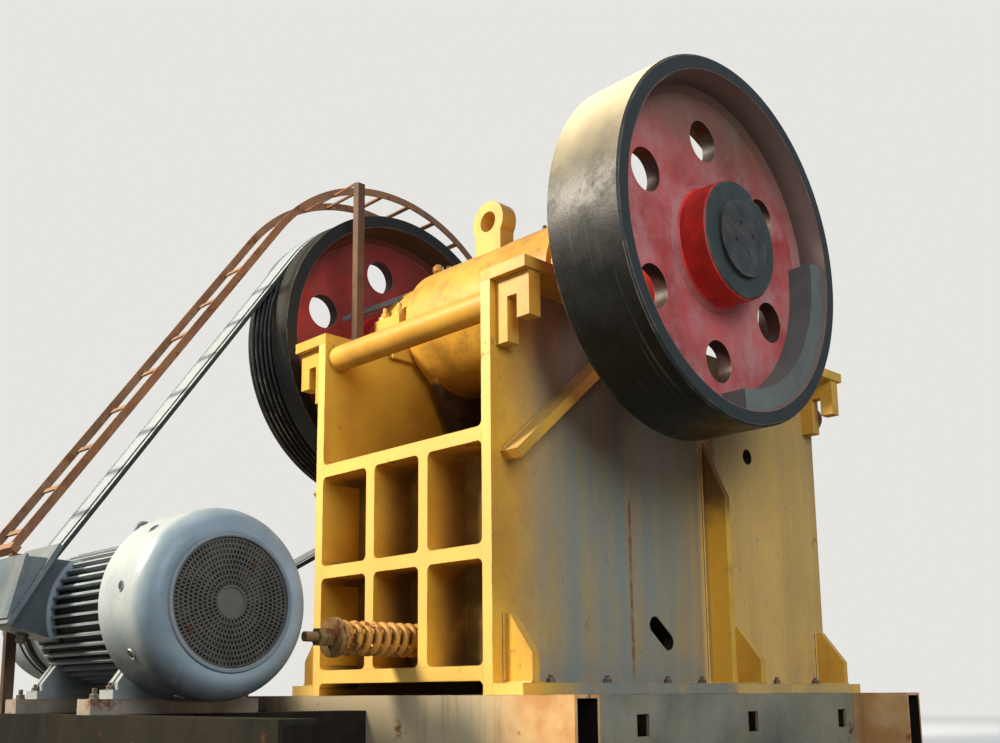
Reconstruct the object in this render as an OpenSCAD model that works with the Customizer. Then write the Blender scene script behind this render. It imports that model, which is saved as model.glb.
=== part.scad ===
// Jaw crusher with its drive motor, belt guard and base frame
// X runs across the machine, Y runs from the rear wall to the feed end, Z is up
// The origin is on the ground, under the middle of the whole machine

/* [Crusher frame] */
// Width over the two side plates
body_w = 1100; // [1000:10:1250]
// Length of a side plate
body_l = 2320; // [2200:10:2500]
// Height of a side plate
body_h = 1555; // [1500:5:1650]
// Thickness of a side plate
plate_t = 50; // [35:1:60]
// Thickness of the rails and ribs of the rear wall
rail_t = 54; // [40:1:60]
// Depth of the pockets in the rear wall
pocket_depth = 200; // [150:5:230]
// Thickness of the plate behind the pockets
back_t = 40; // [25:1:50]
// Height of the lowest rail's middle above the feet
rail_low = 78; // [70:1:90]
// Distance from one rail to the next
rail_pitch = 444; // [420:1:460]
// Reach of the foot flange beside a side plate
flange_w = 150; // [120:5:180]
// Thickness of the foot flange
flange_t = 42; // [30:1:48]
// Outer diameter of the tie tube
tie_d = 114; // [90:1:130]

/* [Crushing chamber] */
// Gap between the jaws at the top
gape = 600; // [560:5:640]
// Gap between the jaws at the bottom
outlet = 120; // [90:5:160]
// Height of the jaw plates
jaw_h = 1250; // [1200:5:1280]
// Thickness of a jaw plate at its ridges
jaw_t = 92; // [80:1:110]
// Depth of the grooves in a jaw plate
groove_depth = 32; // [20:1:40]
// Distance from one ridge to the next
ridge_pitch = 75; // [60:1:100]
// Thickness of a cheek plate
cheek_t = 28; // [20:1:34]
// Thickness of the front wall
front_t = 60; // [45:1:75]

/* [Shaft and bearings] */
// Distance from the rear edge to the shaft axis
shaft_back = 745; // [700:5:790]
// Height of the shaft axis above the feet
shaft_h = 1730; // [1700:5:1780]
// Offset of the eccentric part of the shaft
eccentricity = 16; // [10:1:20]
// Diameter of the eccentric part
eccentric_d = 260; // [240:1:280]
// Diameter of the shaft in the bearings
journal_d = 220; // [200:1:235]
// Diameter of the shaft in the wheel hubs
hub_bore = 190; // [170:1:198]
// Radius of a bearing housing
housing_r = 290; // [270:1:300]
// Width of a bearing housing
housing_w = 225; // [200:5:240]
// Radius of the pitman barrel
barrel_r = 310; // [290:1:320]
// Radial running clearance of shafts and bores
running_gap = 0.05; // [0.02:0.01:0.1]

/* [Wheels] */
// Diameter of the flywheel and the sheave
wheel_d = 1464; // [1400:2:1520]
// Width of a wheel rim
wheel_w = 336; // [300:2:360]
// Distance from the middle plane to the inner face of a wheel
wheel_in = 832; // [820:2:860]
// Radial thickness of a wheel rim
rim_t = 60; // [50:1:70]
// Thickness of a wheel web
web_t = 60; // [45:1:75]
// Depth of the web below the outer face
web_recess = 126; // [100:2:150]
// Diameter of a wheel hub
hub_d = 474; // [420:2:500]
// Diameter of a hole in the web
web_hole_d = 172; // [140:2:190]
// Radius of the circle of web holes
web_hole_r = 454; // [440:2:464]
// Number of V-belts
belts = 5; // [3:1:5]
// Distance from one belt to the next
belt_pitch = 37; // [36:1:42]
// Width of a belt at its top
belt_w = 32; // [28:1:33]
// Thickness of a belt
belt_t = 19; // [16:1:20]

/* [Motor] */
// Height of the motor axis above the motor feet
motor_h = 315; // [300:1:330]
// Distance from the rear edge of the frame to the motor axis
motor_back = 845; // [835:5:900]
// Radius of the finned motor body
motor_r = 262; // [240:2:280]
// Radius of the fan cowl
cowl_r = 326; // [300:2:330]
// Length of the fan cowl
cowl_l = 300; // [220:5:320]
// Place of the cowl's end across the machine
cowl_x = 180; // [150:5:200]
// Outer radius of the motor pulley
pulley_r = 250; // [235:1:255]
// Diameter of the motor shaft
motor_shaft_d = 80; // [70:1:90]

/* [Base] */
// Height of the base beams
base_h = 300; // [260:5:340]
// Flange width of the base beams
beam_w = 125; // [100:5:150]
// Thickness of beam webs and flanges
beam_t = 14; // [10:1:20]
// Length of the cross beams
cross_l = 1960; // [1900:10:2100]
// Step from the base beams down to the motor platform
platform_drop = 58; // [50:1:70]

/* [Belt guard] */
// Radius of the guard's inner bars round the sheave
guard_r = 872; // [860:2:900]
// Width of a guard bar
guard_bar = 36; // [25:1:45]
// Thickness of a guard bar
guard_t = 8; // [6:1:12]

/* [Hidden] */
$fn = 64;
seat = 0.3;
box_reach = 200;
rear_over = motor_back + motor_r + box_reach;
front_over = 90;
rear_y = (rear_over - front_over - body_l) / 2;
front_y = rear_y + body_l;
foot_z = base_h;
top_z = foot_z + body_h;
inner_w = body_w - 2 * plate_t;
shaft_y = rear_y + shaft_back;
shaft_z = foot_z + shaft_h;
rail_count = 3;
function rail_z(i) = foot_z + rail_low + i * rail_pitch;
back_y = rear_y + pocket_depth;

// The swing jaw leans from the outlet to the gape, and the fixed jaw stands upright
front_room = 420;
jaw_low_z = foot_z + 190;
jaw_top_z = jaw_low_z + jaw_h;
fixed_face_y = front_y - front_room;
swing_low_y = fixed_face_y - outlet;
swing_top_y = fixed_face_y - gape;
swing_tilt = atan2(gape - outlet, jaw_h);
jaw_w = inner_w - 2 * cheek_t - 40;
pitman_w = jaw_w - 4;

// The counterweights lie opposite the eccentric
weight_angle = -40;
weight_spread = 94;
weight_w = 105;
ecc_y = shaft_y - eccentricity * cos(weight_angle);
ecc_z = shaft_z - eccentricity * sin(weight_angle);
toggle_gap = 2 * eccentricity + 8;

wheel_r = wheel_d / 2;
wheel_out = wheel_in + wheel_w;
hub_proud = 14;
belt_x = -(wheel_out - 26 - belts * belt_pitch / 2);
belt_proud = 3;
sheave_belt_r = wheel_r - belt_t + belt_proud;
pulley_belt_r = pulley_r - belt_t + belt_proud;
vee = 19;
belt_gap = 0.6;
motor_y = rear_y - motor_back;
platform_z = foot_z - platform_drop;
motor_rail_h = 52;
motor_z = platform_z + motor_rail_h + motor_h;

paint = [0.93, 0.70, 0.16];
steel = [0.42, 0.43, 0.42];
wheel_red = [0.62, 0.22, 0.20];
rust = [0.50, 0.30, 0.20];
motor_grey = [0.55, 0.60, 0.63];
dark = [0.16, 0.15, 0.14];

// A box given by its lowest corner and its size
module block(x, y, z, w, l, h) {
    translate([x, y, z]) cube([w, l, h]);
}

// A solid of revolution or a bar along X, from one place to another
module rod_x(x0, x1, r) {
    translate([x0, 0, 0]) rotate([0, 90, 0]) cylinder(r = r, h = x1 - x0, $fn = 96);
}

// A flat outline given in Y and Z, made thick along X
module slab_x(x0, t) {
    translate([x0, 0, 0]) rotate([90, 0, 90]) linear_extrude(t) children();
}

// Copies its children on the left and the right side
module both_sides() {
    children();
    mirror([1, 0, 0]) children();
}

// Side plate

inspection_back = 995;
inspection_h = 250;
peep_back = 1709;
peep_h = 1110;
peep_r = 37;

module side_outline() {
    difference() {
        polygon([
            [rear_y, foot_z],
            [front_y, foot_z],
            [front_y, top_z],
            [rear_y, top_z]
        ]);
        translate([shaft_y, shaft_z]) circle(r = housing_r + seat, $fn = 96);
        translate([rear_y + peep_back, foot_z + peep_h]) circle(r = peep_r, $fn = 32);
        translate([rear_y + inspection_back, foot_z + inspection_h]) rotate(-38) {
            square([110, 72], center = true);
            translate([-55, 0]) circle(d = 72, $fn = 32);
            translate([55, 0]) circle(d = 72, $fn = 32);
        }
    }
}

module side_plate_right() {
    color(paint) slab_x(body_w / 2 - plate_t, plate_t) side_outline();
}

module side_plate_left() {
    color(paint) slab_x(-body_w / 2, plate_t) side_outline();
}

module foot_flanges() {
    color(paint) both_sides() {
        block(body_w / 2, rear_y, foot_z, flange_w, body_l + 60, flange_t);
    }
}

// A foot gusset: a plate across the flange with a sloping top
module gusset(y, reach, h, t) {
    translate([0, y, 0]) rotate([90, 0, 0]) linear_extrude(t, center = true) polygon([
        [body_w / 2, foot_z + flange_t],
        [body_w / 2 + reach, foot_z + flange_t],
        [body_w / 2 + reach, foot_z + flange_t + h * 0.42],
        [body_w / 2 + 30, foot_z + flange_t + h],
        [body_w / 2, foot_z + flange_t + h]
    ]);
}

module foot_gussets() {
    color(paint) both_sides() {
        for (y = [rear_y + 75, rear_y + 1530, front_y - 60]) {
            gusset(y, flange_w - 8, 250, 36);
        }
    }
}

rib_y = rear_y + 0.58 * body_l;
rib_proud = 118;

module side_ribs() {
    color(paint) both_sides() {
        translate([0, rib_y, 0]) rotate([90, 0, 0]) linear_extrude(36, center = true) polygon([
            [body_w / 2, foot_z + flange_t],
            [body_w / 2 + rib_proud, foot_z + flange_t],
            [body_w / 2 + rib_proud, foot_z + 860],
            [body_w / 2, foot_z + 1120]
        ]);
        translate([body_w / 2, rear_y + 75, foot_z + 890]) rotate([40.5, 0, 0]) {
            translate([0, -20, -20]) cube([90, 700, 40]);
        }
    }
}

// Corner brackets: a top plate and a forked plate that hangs from it

bracket_reach = 185;
bracket_t = 45;
bracket_l = 360;
fork_t = 62;
fork_leg = 63;
fork_slot = 50;

module corner_bracket(y_edge, y_dir) {
    y0 = y_dir > 0 ? y_edge : y_edge - bracket_l;
    fork_y = y_dir > 0 ? y_edge + 30 : y_edge - 30 - fork_t;
    block(body_w / 2 - plate_t, y0, top_z, plate_t + bracket_reach, bracket_l, bracket_t);
    translate([body_w / 2, fork_y + fork_t, 0]) rotate([90, 0, 0]) linear_extrude(fork_t) difference() {
        polygon([
            [0, top_z],
            [2 * fork_leg + fork_slot, top_z],
            [2 * fork_leg + fork_slot, top_z - 175],
            [fork_leg + fork_slot, top_z - 175],
            [fork_leg + fork_slot, top_z - 80],
            [fork_leg, top_z - 80],
            [fork_leg, top_z - 255],
            [0, top_z - 255]
        ]);
    }
}

module corner_brackets() {
    color(paint) both_sides() {
        corner_bracket(rear_y, 1);
        corner_bracket(front_y, -1);
    }
}

// Hitch rings on the front edges of the side plates: a lug with an eye, and a ring that hangs in it

ring_r = 60;
ring_wire = 10;
hitch_z = top_z - 90;

module hitch_rings() {
    eye = 14;
    color(steel) both_sides() translate([body_w / 2 - plate_t / 2, front_y, hitch_z]) {
        slab_x(-10, 20) difference() {
            union() {
                translate([0, -34]) square([36, 68]);
                translate([36, 0]) circle(r = 34, $fn = 48);
            }
            translate([36, 0]) circle(r = eye, $fn = 32);
        }
        translate([0, 36, ring_wire + seat - eye - ring_r]) rotate([90, 0, 0])
            rotate_extrude($fn = 64) translate([ring_r, 0]) circle(r = ring_wire, $fn = 24);
    }
}

// Rear wall: rails and ribs whose ends flare out, so that the pockets have round corners

flare = 24;

// A bar of length l along X and thickness t, widened at both ends by concave quarter rounds
module flared_bar(l, t) {
    translate([-l / 2, -t / 2]) square([l, t]);
    for (side = [-1, 1], up = [-1, 1]) {
        scale([side, up]) translate([l / 2 - flare, t / 2]) difference() {
            square(flare);
            translate([0, flare]) circle(r = flare, $fn = 32);
        }
    }
}

module rear_rails() {
    color(paint) for (i = [0 : rail_count - 1]) {
        translate([0, back_y, rail_z(i)]) rotate([90, 0, 0])
            linear_extrude(pocket_depth) flared_bar(inner_w, rail_t);
    }
}

rib_step = inner_w / 3;

module rear_ribs() {
    color(paint) for (i = [0 : rail_count - 2], s = [-0.5, 0.5]) {
        translate([s * rib_step, back_y, rail_z(i) + rail_pitch / 2]) rotate([90, 90, 0])
            linear_extrude(pocket_depth) flared_bar(rail_pitch - rail_t, rail_t);
    }
}

rod_z = foot_z + 216;
rod_r = 19;

module rear_plate() {
    low = rail_z(0) - rail_t / 2;
    color(paint) difference() {
        block(-inner_w / 2, back_y, low, inner_w, back_t, rail_z(rail_count - 1) + rail_t / 2 - low);
        translate([0, back_y - 1, rod_z]) rotate([-90, 0, 0]) cylinder(r = rod_r + seat, h = back_t + 2);
    }
}

tie_y = rear_y + 76;
tie_z = top_z - 62;

module tie_tube() {
    color(paint) translate([0, tie_y, tie_z]) rod_x(-inner_w / 2, inner_w / 2, tie_d / 2);
}

// Front wall and fixed jaw

front_back_y = fixed_face_y + jaw_t;

module front_wall() {
    color(paint) block(-inner_w / 2, front_back_y, foot_z + 40, inner_w, front_t, body_h - 90);
}

module front_rails() {
    y0 = front_back_y + front_t;
    pitch = (body_h - 205) / 3;
    color(paint) for (i = [0 : 3]) {
        block(-inner_w / 2, y0, foot_z + 60 + i * pitch, inner_w, front_y - y0, rail_t);
    }
}

// A corrugated plate: upright ridges along its face, given in X and Y with its back at Y = 0
module corrugated(w, t, h) {
    n = floor(w / ridge_pitch);
    step = w / n;
    linear_extrude(h) polygon(concat(
        [[-w / 2, 0], [-w / 2, t - groove_depth]],
        [for (i = [0 : n - 1], k = [0.25, 0.75]) [-w / 2 + (i + k) * step, k < 0.5 ? t : t - groove_depth]],
        [[w / 2, t - groove_depth], [w / 2, 0]]
    ));
}

module fixed_jaw_plate() {
    color(steel) translate([0, front_back_y, jaw_low_z]) rotate([0, 0, 180]) corrugated(jaw_w, jaw_t, jaw_h);
}

module cheek_plates() {
    color(steel) both_sides() slab_x(inner_w / 2 - cheek_t, cheek_t) polygon([
        [swing_low_y + 30, jaw_low_z + 40],
        [fixed_face_y, jaw_low_z + 40],
        [fixed_face_y, jaw_top_z],
        [swing_top_y, jaw_top_z],
    ]);
}

// Bearings

housing_in = inner_w / 2 - 30;
foot_half = shaft_back - bracket_l - 5;
foot_h = 75;

cover_r = 200;
cover_t = 18;

// The round housing with stepped edges, and its end cover on the outer side
module housing_round() {
    translate([0, shaft_y, shaft_z]) {
        rod_x(housing_in, housing_in + housing_w, housing_r - 16);
        rod_x(housing_in + 22, housing_in + housing_w - 22, housing_r);
        rod_x(housing_in + housing_w - 1, housing_in + housing_w + cover_t, cover_r);
    }
}

module housing_shape() {
    housing_round();
    translate([housing_in, shaft_y - housing_r, top_z]) cube([housing_w, 2 * housing_r, shaft_h - body_h]);
    block(housing_in, shaft_y - foot_half, top_z, housing_w, 2 * foot_half, foot_h);
}

module bearing_base() {
    color(paint) difference() {
        intersection() {
            housing_shape();
            translate([0, shaft_y - foot_half, top_z - housing_r])
                cube([body_w, 2 * foot_half, shaft_h - body_h - seat / 2 + housing_r]);
        }
        translate([0, shaft_y, shaft_z]) rod_x(0, body_w, journal_d / 2 + running_gap);
    }
}

// The cap: the upper half with bolt lugs, four bolt bosses and a greasing knob
module bearing_cap() {
    lug = 330;
    mid = housing_in + housing_w / 2;
    color(paint) difference() {
        union() {
            housing_round();
            block(housing_in + 20, shaft_y - lug, shaft_z, housing_w - 40, 2 * lug, 60);
            for (y = [-1, 1], x = [-55, 55]) {
                translate([mid + x, shaft_y + y * (lug - 34), shaft_z]) cylinder(r = 30, h = 78, $fn = 32);
            }
            translate([mid, shaft_y, shaft_z + housing_r - 4]) rotate_extrude($fn = 32)
                polygon([[0, 0], [16, 0], [16, 80], [27, 92], [27, 116], [15, 129], [0, 129]]);
        }
        translate([0, shaft_y - foot_half, shaft_z - 2 * housing_r])
            cube([body_w, 2 * foot_half, 2 * housing_r + seat / 2]);
        translate([0, shaft_y, shaft_z]) rod_x(0, body_w, journal_d / 2 + running_gap);
    }
}

module bearing_base_right() {
    bearing_base();
}

module bearing_base_left() {
    mirror([1, 0, 0]) bearing_base();
}

module bearing_cap_right() {
    bearing_cap();
}

module bearing_cap_left() {
    mirror([1, 0, 0]) bearing_cap();
}

// Eccentric shaft with its wheels

eccentric_half = housing_in - 10;
journal_end = housing_in + housing_w + cover_t + 10;

module eccentric_shaft() {
    color(steel) union() {
        translate([0, ecc_y, ecc_z]) rod_x(-eccentric_half, eccentric_half, eccentric_d / 2);
        translate([0, shaft_y, shaft_z]) {
            rod_x(-journal_end, -eccentric_half, journal_d / 2);
            rod_x(eccentric_half, journal_end, journal_d / 2);
            rod_x(-wheel_out, -journal_end, hub_bore / 2);
            rod_x(journal_end, wheel_out, hub_bore / 2);
        }
    }
}

web_out = wheel_out - web_recess;
rim_in_r = wheel_r - rim_t;

web_in = web_out - web_t;
fillet = 24;
chamfer = 8;
draft = 20;
weight_draft = draft * (web_recess - weight_w) / (web_recess - fillet);

// Half section of a wheel in radius and X, with the tread given by its child points
module wheel_section(tread) {
    hub_r = hub_d / 2;
    polygon(concat(
        [[hub_bore / 2, wheel_out + hub_proud], [hub_bore / 2, wheel_in + 10]],
        [[hub_r - chamfer, wheel_in + 10], [hub_r, wheel_in + 10 + chamfer]],
        [[hub_r, web_in - fillet], [hub_r + fillet, web_in]],
        [[rim_in_r - draft - fillet, web_in], [rim_in_r - draft, web_in - fillet], [rim_in_r, wheel_in]],
        tread,
        [[rim_in_r, wheel_out], [rim_in_r - draft, web_out + fillet], [rim_in_r - draft - fillet, web_out]],
        [[hub_r + fillet, web_out], [hub_r, web_out + fillet]],
        [[hub_r, wheel_out + hub_proud - chamfer], [hub_r - chamfer, wheel_out + hub_proud]]
    ));
}

// A wheel: the section turned round the shaft, with web holes and a notch in the hub's face
module wheel(tread, first_hole) {
    difference() {
        translate([0, shaft_y, shaft_z]) rotate([0, 90, 0]) rotate_extrude($fn = 128) wheel_section(tread);
        for (i = [0 : 5]) {
            translate([0, shaft_y, shaft_z]) rotate([first_hole + i * 60, 0, 0])
                translate([0, web_hole_r, 0]) rod_x(web_in - 1, web_out + 1, web_hole_d / 2);
        }
        translate([0, shaft_y, shaft_z]) rotate([60, 0, 0])
            block(wheel_out + hub_proud - 30, hub_d / 2 - 20, -22, 31, 40, 44);
    }
}

module flywheel() {
    plain = [
        [wheel_r - chamfer, wheel_in],
        [wheel_r, wheel_in + chamfer],
        [wheel_r, wheel_out - chamfer],
        [wheel_r - chamfer, wheel_out]
    ];
    color(wheel_red) wheel(plain, 33);
}

// Places of the belts about the middle of the drive
function belt_place(i) = (i - (belts - 1) / 2) * belt_pitch;

// Half the belt's width at a depth below its top, and tread points of one V groove round the place x
function belt_half(d) = belt_w / 2 - d * tan(vee);
groove_in = belt_t + 4;
function groove_half(d) = belt_half(d) + belt_gap / cos(vee);
function groove_points(x, r) = [
    [r, x - groove_half(belt_proud)],
    [r - groove_in, x - groove_half(belt_proud + groove_in)],
    [r - groove_in, x + groove_half(belt_proud + groove_in)],
    [r, x + groove_half(belt_proud)]
];

module sheave() {
    tread = concat(
        [[wheel_r, wheel_in]],
        [for (i = [0 : belts - 1], p = groove_points(belt_place(i) - belt_x, wheel_r)) p],
        [[wheel_r, wheel_out]]
    );
    color(dark) mirror([1, 0, 0]) wheel(tread, 37);
}

// An arc of steel inside the rim of each wheel
module counterweights() {
    color(dark) both_sides() {
        translate([0, shaft_y, shaft_z]) rotate([0, 90, 0])
            rotate([0, 0, weight_angle + 90 - weight_spread / 2])
                rotate_extrude(angle = weight_spread, $fn = 128)
            polygon([
                [rim_in_r - 90, web_out],
                [rim_in_r - draft - fillet - 2 * seat, web_out],
                [rim_in_r - draft - 2 * seat, web_out + fillet],
                [rim_in_r - 2 * seat - weight_draft, web_out + weight_w],
                [rim_in_r - 90, web_out + weight_w]
            ]);
    }
}

module hub_plates() {
    color(dark) both_sides() translate([0, shaft_y, shaft_z]) difference() {
        rod_x(wheel_out + hub_proud, wheel_out + hub_proud + 16, 152);
        for (a = [20 : 90 : 290]) {
            rotate([a, 0, 0]) translate([0, 62, 0])
                rod_x(wheel_out + hub_proud - 1, wheel_out + hub_proud + 17, 11);
        }
    }
}

// Pitman

pitman_low_z = jaw_low_z - 10;

// A point on the swing jaw's back plane, at a height and a depth behind it
function jaw_back(z, d) = [
    swing_low_y - (z - jaw_low_z) * tan(swing_tilt) - (jaw_t + d) / cos(swing_tilt), z
];

pitman_back = 330;
toggle_back = 420;
toggle_r = 38;
toggle_z = foot_z + 430;

// The pitman's side view: from the barrel down to the toggle, in front of it the seat of the jaw plate
module pitman_web() {
    polygon([
        [ecc_y - 200, ecc_z - 200],
        jaw_back(toggle_z + 90, toggle_back),
        jaw_back(pitman_low_z, pitman_back),
        jaw_back(pitman_low_z, seat),
        jaw_back(jaw_top_z, seat),
        [ecc_y + 260, ecc_z + 60]
    ]);
}

// A casting that is open at the back: barrel, front wall, three webs and the beam that takes the toggle
module pitman() {
    wall = 95;
    web = 60;
    color(dark) difference() {
        union() {
            translate([0, ecc_y, ecc_z]) rod_x(-pitman_w / 2, pitman_w / 2, barrel_r);
            for (x = [-pitman_w / 2, -web / 2, pitman_w / 2 - web]) {
                slab_x(x, web) pitman_web();
            }
            slab_x(-pitman_w / 2, pitman_w) polygon([
                jaw_back(pitman_low_z, seat),
                jaw_back(jaw_top_z, seat),
                [ecc_y + 260, ecc_z + 60],
                [ecc_y + 150, ecc_z - 60],
                jaw_back(jaw_top_z, wall),
                jaw_back(pitman_low_z, wall)
            ]);
            slab_x(-pitman_w / 2, pitman_w) polygon([
                jaw_back(toggle_z - 110, wall - 10),
                jaw_back(toggle_z - 110, pitman_back + 30),
                jaw_back(toggle_z + 90, toggle_back),
                jaw_back(toggle_z + 90, wall - 10)
            ]);
        }
        translate([0, ecc_y, ecc_z]) rod_x(-pitman_w, pitman_w, eccentric_d / 2 + running_gap);
        translate([0, toggle_front, toggle_z]) rod_x(-pitman_w, pitman_w, toggle_r + 4);
    }
}

module swing_jaw_plate() {
    p = jaw_back(jaw_low_z, 0);
    color(steel) translate([0, p[0], p[1]]) rotate([swing_tilt, 0, 0])
        corrugated(pitman_w, jaw_t, jaw_h / cos(swing_tilt));
}

lug_t = 85;
lug_r = 97;
lug_back = 160;
lug_up = 75;

// An eye across the barrel, for lifting the pitman out
module lifting_lug() {
    color(paint) translate([0, ecc_y - lug_back, ecc_z + barrel_r + lug_up]) difference() {
        union() {
            rotate([90, 0, 0]) cylinder(r = lug_r, h = lug_t, center = true, $fn = 48);
            translate([-lug_r * 0.82, -lug_t / 2, -190]) cube([lug_r * 1.64, lug_t, 190]);
        }
        rotate([90, 0, 0]) cylinder(r = 48, h = lug_t + 2, center = true, $fn = 48);
        translate([0, lug_back, -barrel_r - lug_up]) rod_x(-120, 120, barrel_r + seat);
    }
}

// Toggle and tension gear

seat_reach = 330;
toggle_front = jaw_back(toggle_z, 395)[0];
seat_front_y = back_y + back_t + seat_reach;

// The beam that takes the rear end of the toggle plate in a round groove
module toggle_seat() {
    color(paint) slab_x(-inner_w / 2, inner_w) difference() {
        polygon([
            [back_y + back_t, toggle_z - 150],
            [seat_front_y - 110, toggle_z - 150],
            [seat_front_y, toggle_z - 80],
            [seat_front_y, toggle_z + 80],
            [seat_front_y - 110, toggle_z + 150],
            [back_y + back_t, toggle_z + 150]
        ]);
        translate([seat_front_y, toggle_z]) circle(r = toggle_r + seat, $fn = 48);
    }
}

// The toggle plate, with round ends; its front end stays clear of the pitman over the whole turn
module toggle_plate() {
    end_y = toggle_front - toggle_gap - toggle_r;
    color(steel) slab_x(-pitman_w / 2 + 40, pitman_w - 80) {
        translate([seat_front_y, toggle_z]) circle(r = toggle_r, $fn = 48);
        translate([end_y, toggle_z]) circle(r = toggle_r, $fn = 48);
        translate([seat_front_y, toggle_z - 25]) square([end_y - seat_front_y, 50]);
    }
}

rod_out = rear_y - 430;
rod_in = jaw_back(rod_z, pitman_back)[0] - 2 * toggle_gap - 40;
spring_out = rear_y - 310;
washer_t = 20;
wire_r = 13;
coil_r = 55;
turns = 11;

// A round bar along Y
module rod_y(y0, y1, r) {
    translate([0, y0, rod_z]) rotate([-90, 0, 0]) cylinder(r = r, h = y1 - y0);
}

// The rod with its spring plate, two nuts at the outer end and an eye at the pitman's end
module tension_rod() {
    nut = 30;
    color(steel) difference() {
        union() {
            rod_y(rod_out, rod_in, rod_r);
            rod_y(spring_out, spring_out + washer_t, 76);
            for (i = [1, 2]) {
                translate([0, spring_out - i * (nut + 3), rod_z]) rotate([-90, 0, 0])
                    cylinder(r = 36, h = nut, $fn = 6);
            }
            translate([0, rod_in, rod_z]) rod_x(-20, 20, 44);
        }
        translate([0, rod_in, rod_z]) rod_x(-21, 21, 20);
    }
}

// The points of a ring of the coil's wire, at a share u of its length
function coil_ring(u, y0, y1) = [
    for (k = [30 : 60 : 330]) let (a = 360 * turns * u, r = coil_r + wire_r * cos(k))
        [r * cos(a), y0 + (y1 - y0) * u + wire_r * sin(k), rod_z + r * sin(a)]
];

module tension_spring() {
    steps = 14 * turns;
    y0 = spring_out + washer_t + wire_r + seat;
    y1 = back_y - wire_r - seat;
    last = 6 * steps;
    color(paint) polyhedron(
        points = [for (i = [0 : steps], p = coil_ring(i / steps, y0, y1)) p],
        faces = concat(
            [[for (k = [0 : 5]) k]],
            [for (i = [0 : 6 : last - 6], k = [0 : 5]) [i + k, i + k + 6, i + (k + 1) % 6 + 6]],
            [for (i = [0 : 6 : last - 6], k = [0 : 5]) [i + k, i + (k + 1) % 6 + 6, i + (k + 1) % 6]],
            [[for (k = [5 : -1 : 0]) last + k]]
        )
    );
}

// Base

// A channel of height h along X, with its web on the side of Y = 0
module channel(l, h) {
    translate([-l / 2, 0, 0]) rotate([90, 0, 90]) linear_extrude(l) polygon([
        [0, 0],
        [beam_w, 0],
        [beam_w, beam_t],
        [beam_t, beam_t],
        [beam_t, h - beam_t],
        [beam_w, h - beam_t],
        [beam_w, h],
        [0, h]
    ]);
}

// A box beam of height h along X, open at its ends
module box_beam(l, h) {
    translate([-l / 2, 0, 0]) rotate([90, 0, 90]) linear_extrude(l) difference() {
        square([beam_w, h]);
        translate([beam_t, beam_t]) square([beam_w - 2 * beam_t, h - 2 * beam_t]);
    }
}

cross_rear_y = rear_y - 50;
cross_front_y = front_y + front_over;

module base_cross_beams() {
    color(rust) {
        translate([0, cross_rear_y, 0]) box_beam(cross_l, base_h);
        translate([0, cross_front_y - beam_w, 0]) box_beam(cross_l, base_h);
    }
}

side_beam_out = body_w / 2 + flange_w + 10;

module base_side_beams() {
    y0 = cross_rear_y + beam_w;
    l = cross_front_y - beam_w - y0;
    color(steel) both_sides() difference() {
        translate([side_beam_out, y0 + l / 2, 0]) rotate([0, 0, 90]) channel(l, base_h);
        for (i = [0 : 2]) {
            block(side_beam_out - beam_t - 1, rear_y + 610 + i * 760, base_h - 160, beam_t + 2, 74, 84);
        }
    }
}

platform_rear_y = motor_y - 340;

module motor_platform() {
    color(rust) translate([0, platform_rear_y, 0]) channel(cross_l, platform_z);
}

motor_mid_x = -555;
foot_pitch = 620;

// The two bearers that carry the motor rails, from the platform's beam to the base
module motor_bearers() {
    l = cross_rear_y - platform_rear_y - beam_w;
    color(rust) for (x = [-1, 1]) {
        translate([motor_mid_x + 20 + x * (foot_pitch / 2 + 50), platform_rear_y + beam_w + l / 2, 0])
            rotate([0, 0, x * 90]) translate([0, -60, 0]) channel(l, platform_z);
    }
}

// Motor

motor_x0 = -880;
cowl_x0 = cowl_x - cowl_l;
foot_w = 100;
foot_places = [motor_x0 + 30, motor_x0 + 30 + foot_pitch];

module motor_rails() {
    color(steel) for (x = foot_places) {
        block(x, motor_y - 330, platform_z, foot_w, 640, motor_rail_h);
    }
}

core_r = motor_r - 32;
fins = 44;
shield_l = 64;
box_tilt = 30;
neck_r = motor_r + 94;
box_x = motor_x0 + 44;
box_l = 280;
box_flange = 18;
box_face = neck_r + seat + box_flange;
// The flange ends where its low outer edge is the rearmost point of the machine
flange_low = (box_face * cos(box_tilt) - motor_r - box_reach) / sin(box_tilt);
bore_depth = 300;

// Turns its children to the terminal box's side of the motor
module on_box_side() {
    translate([0, motor_y, motor_z]) rotate([-box_tilt, 0, 0]) children();
}

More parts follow.
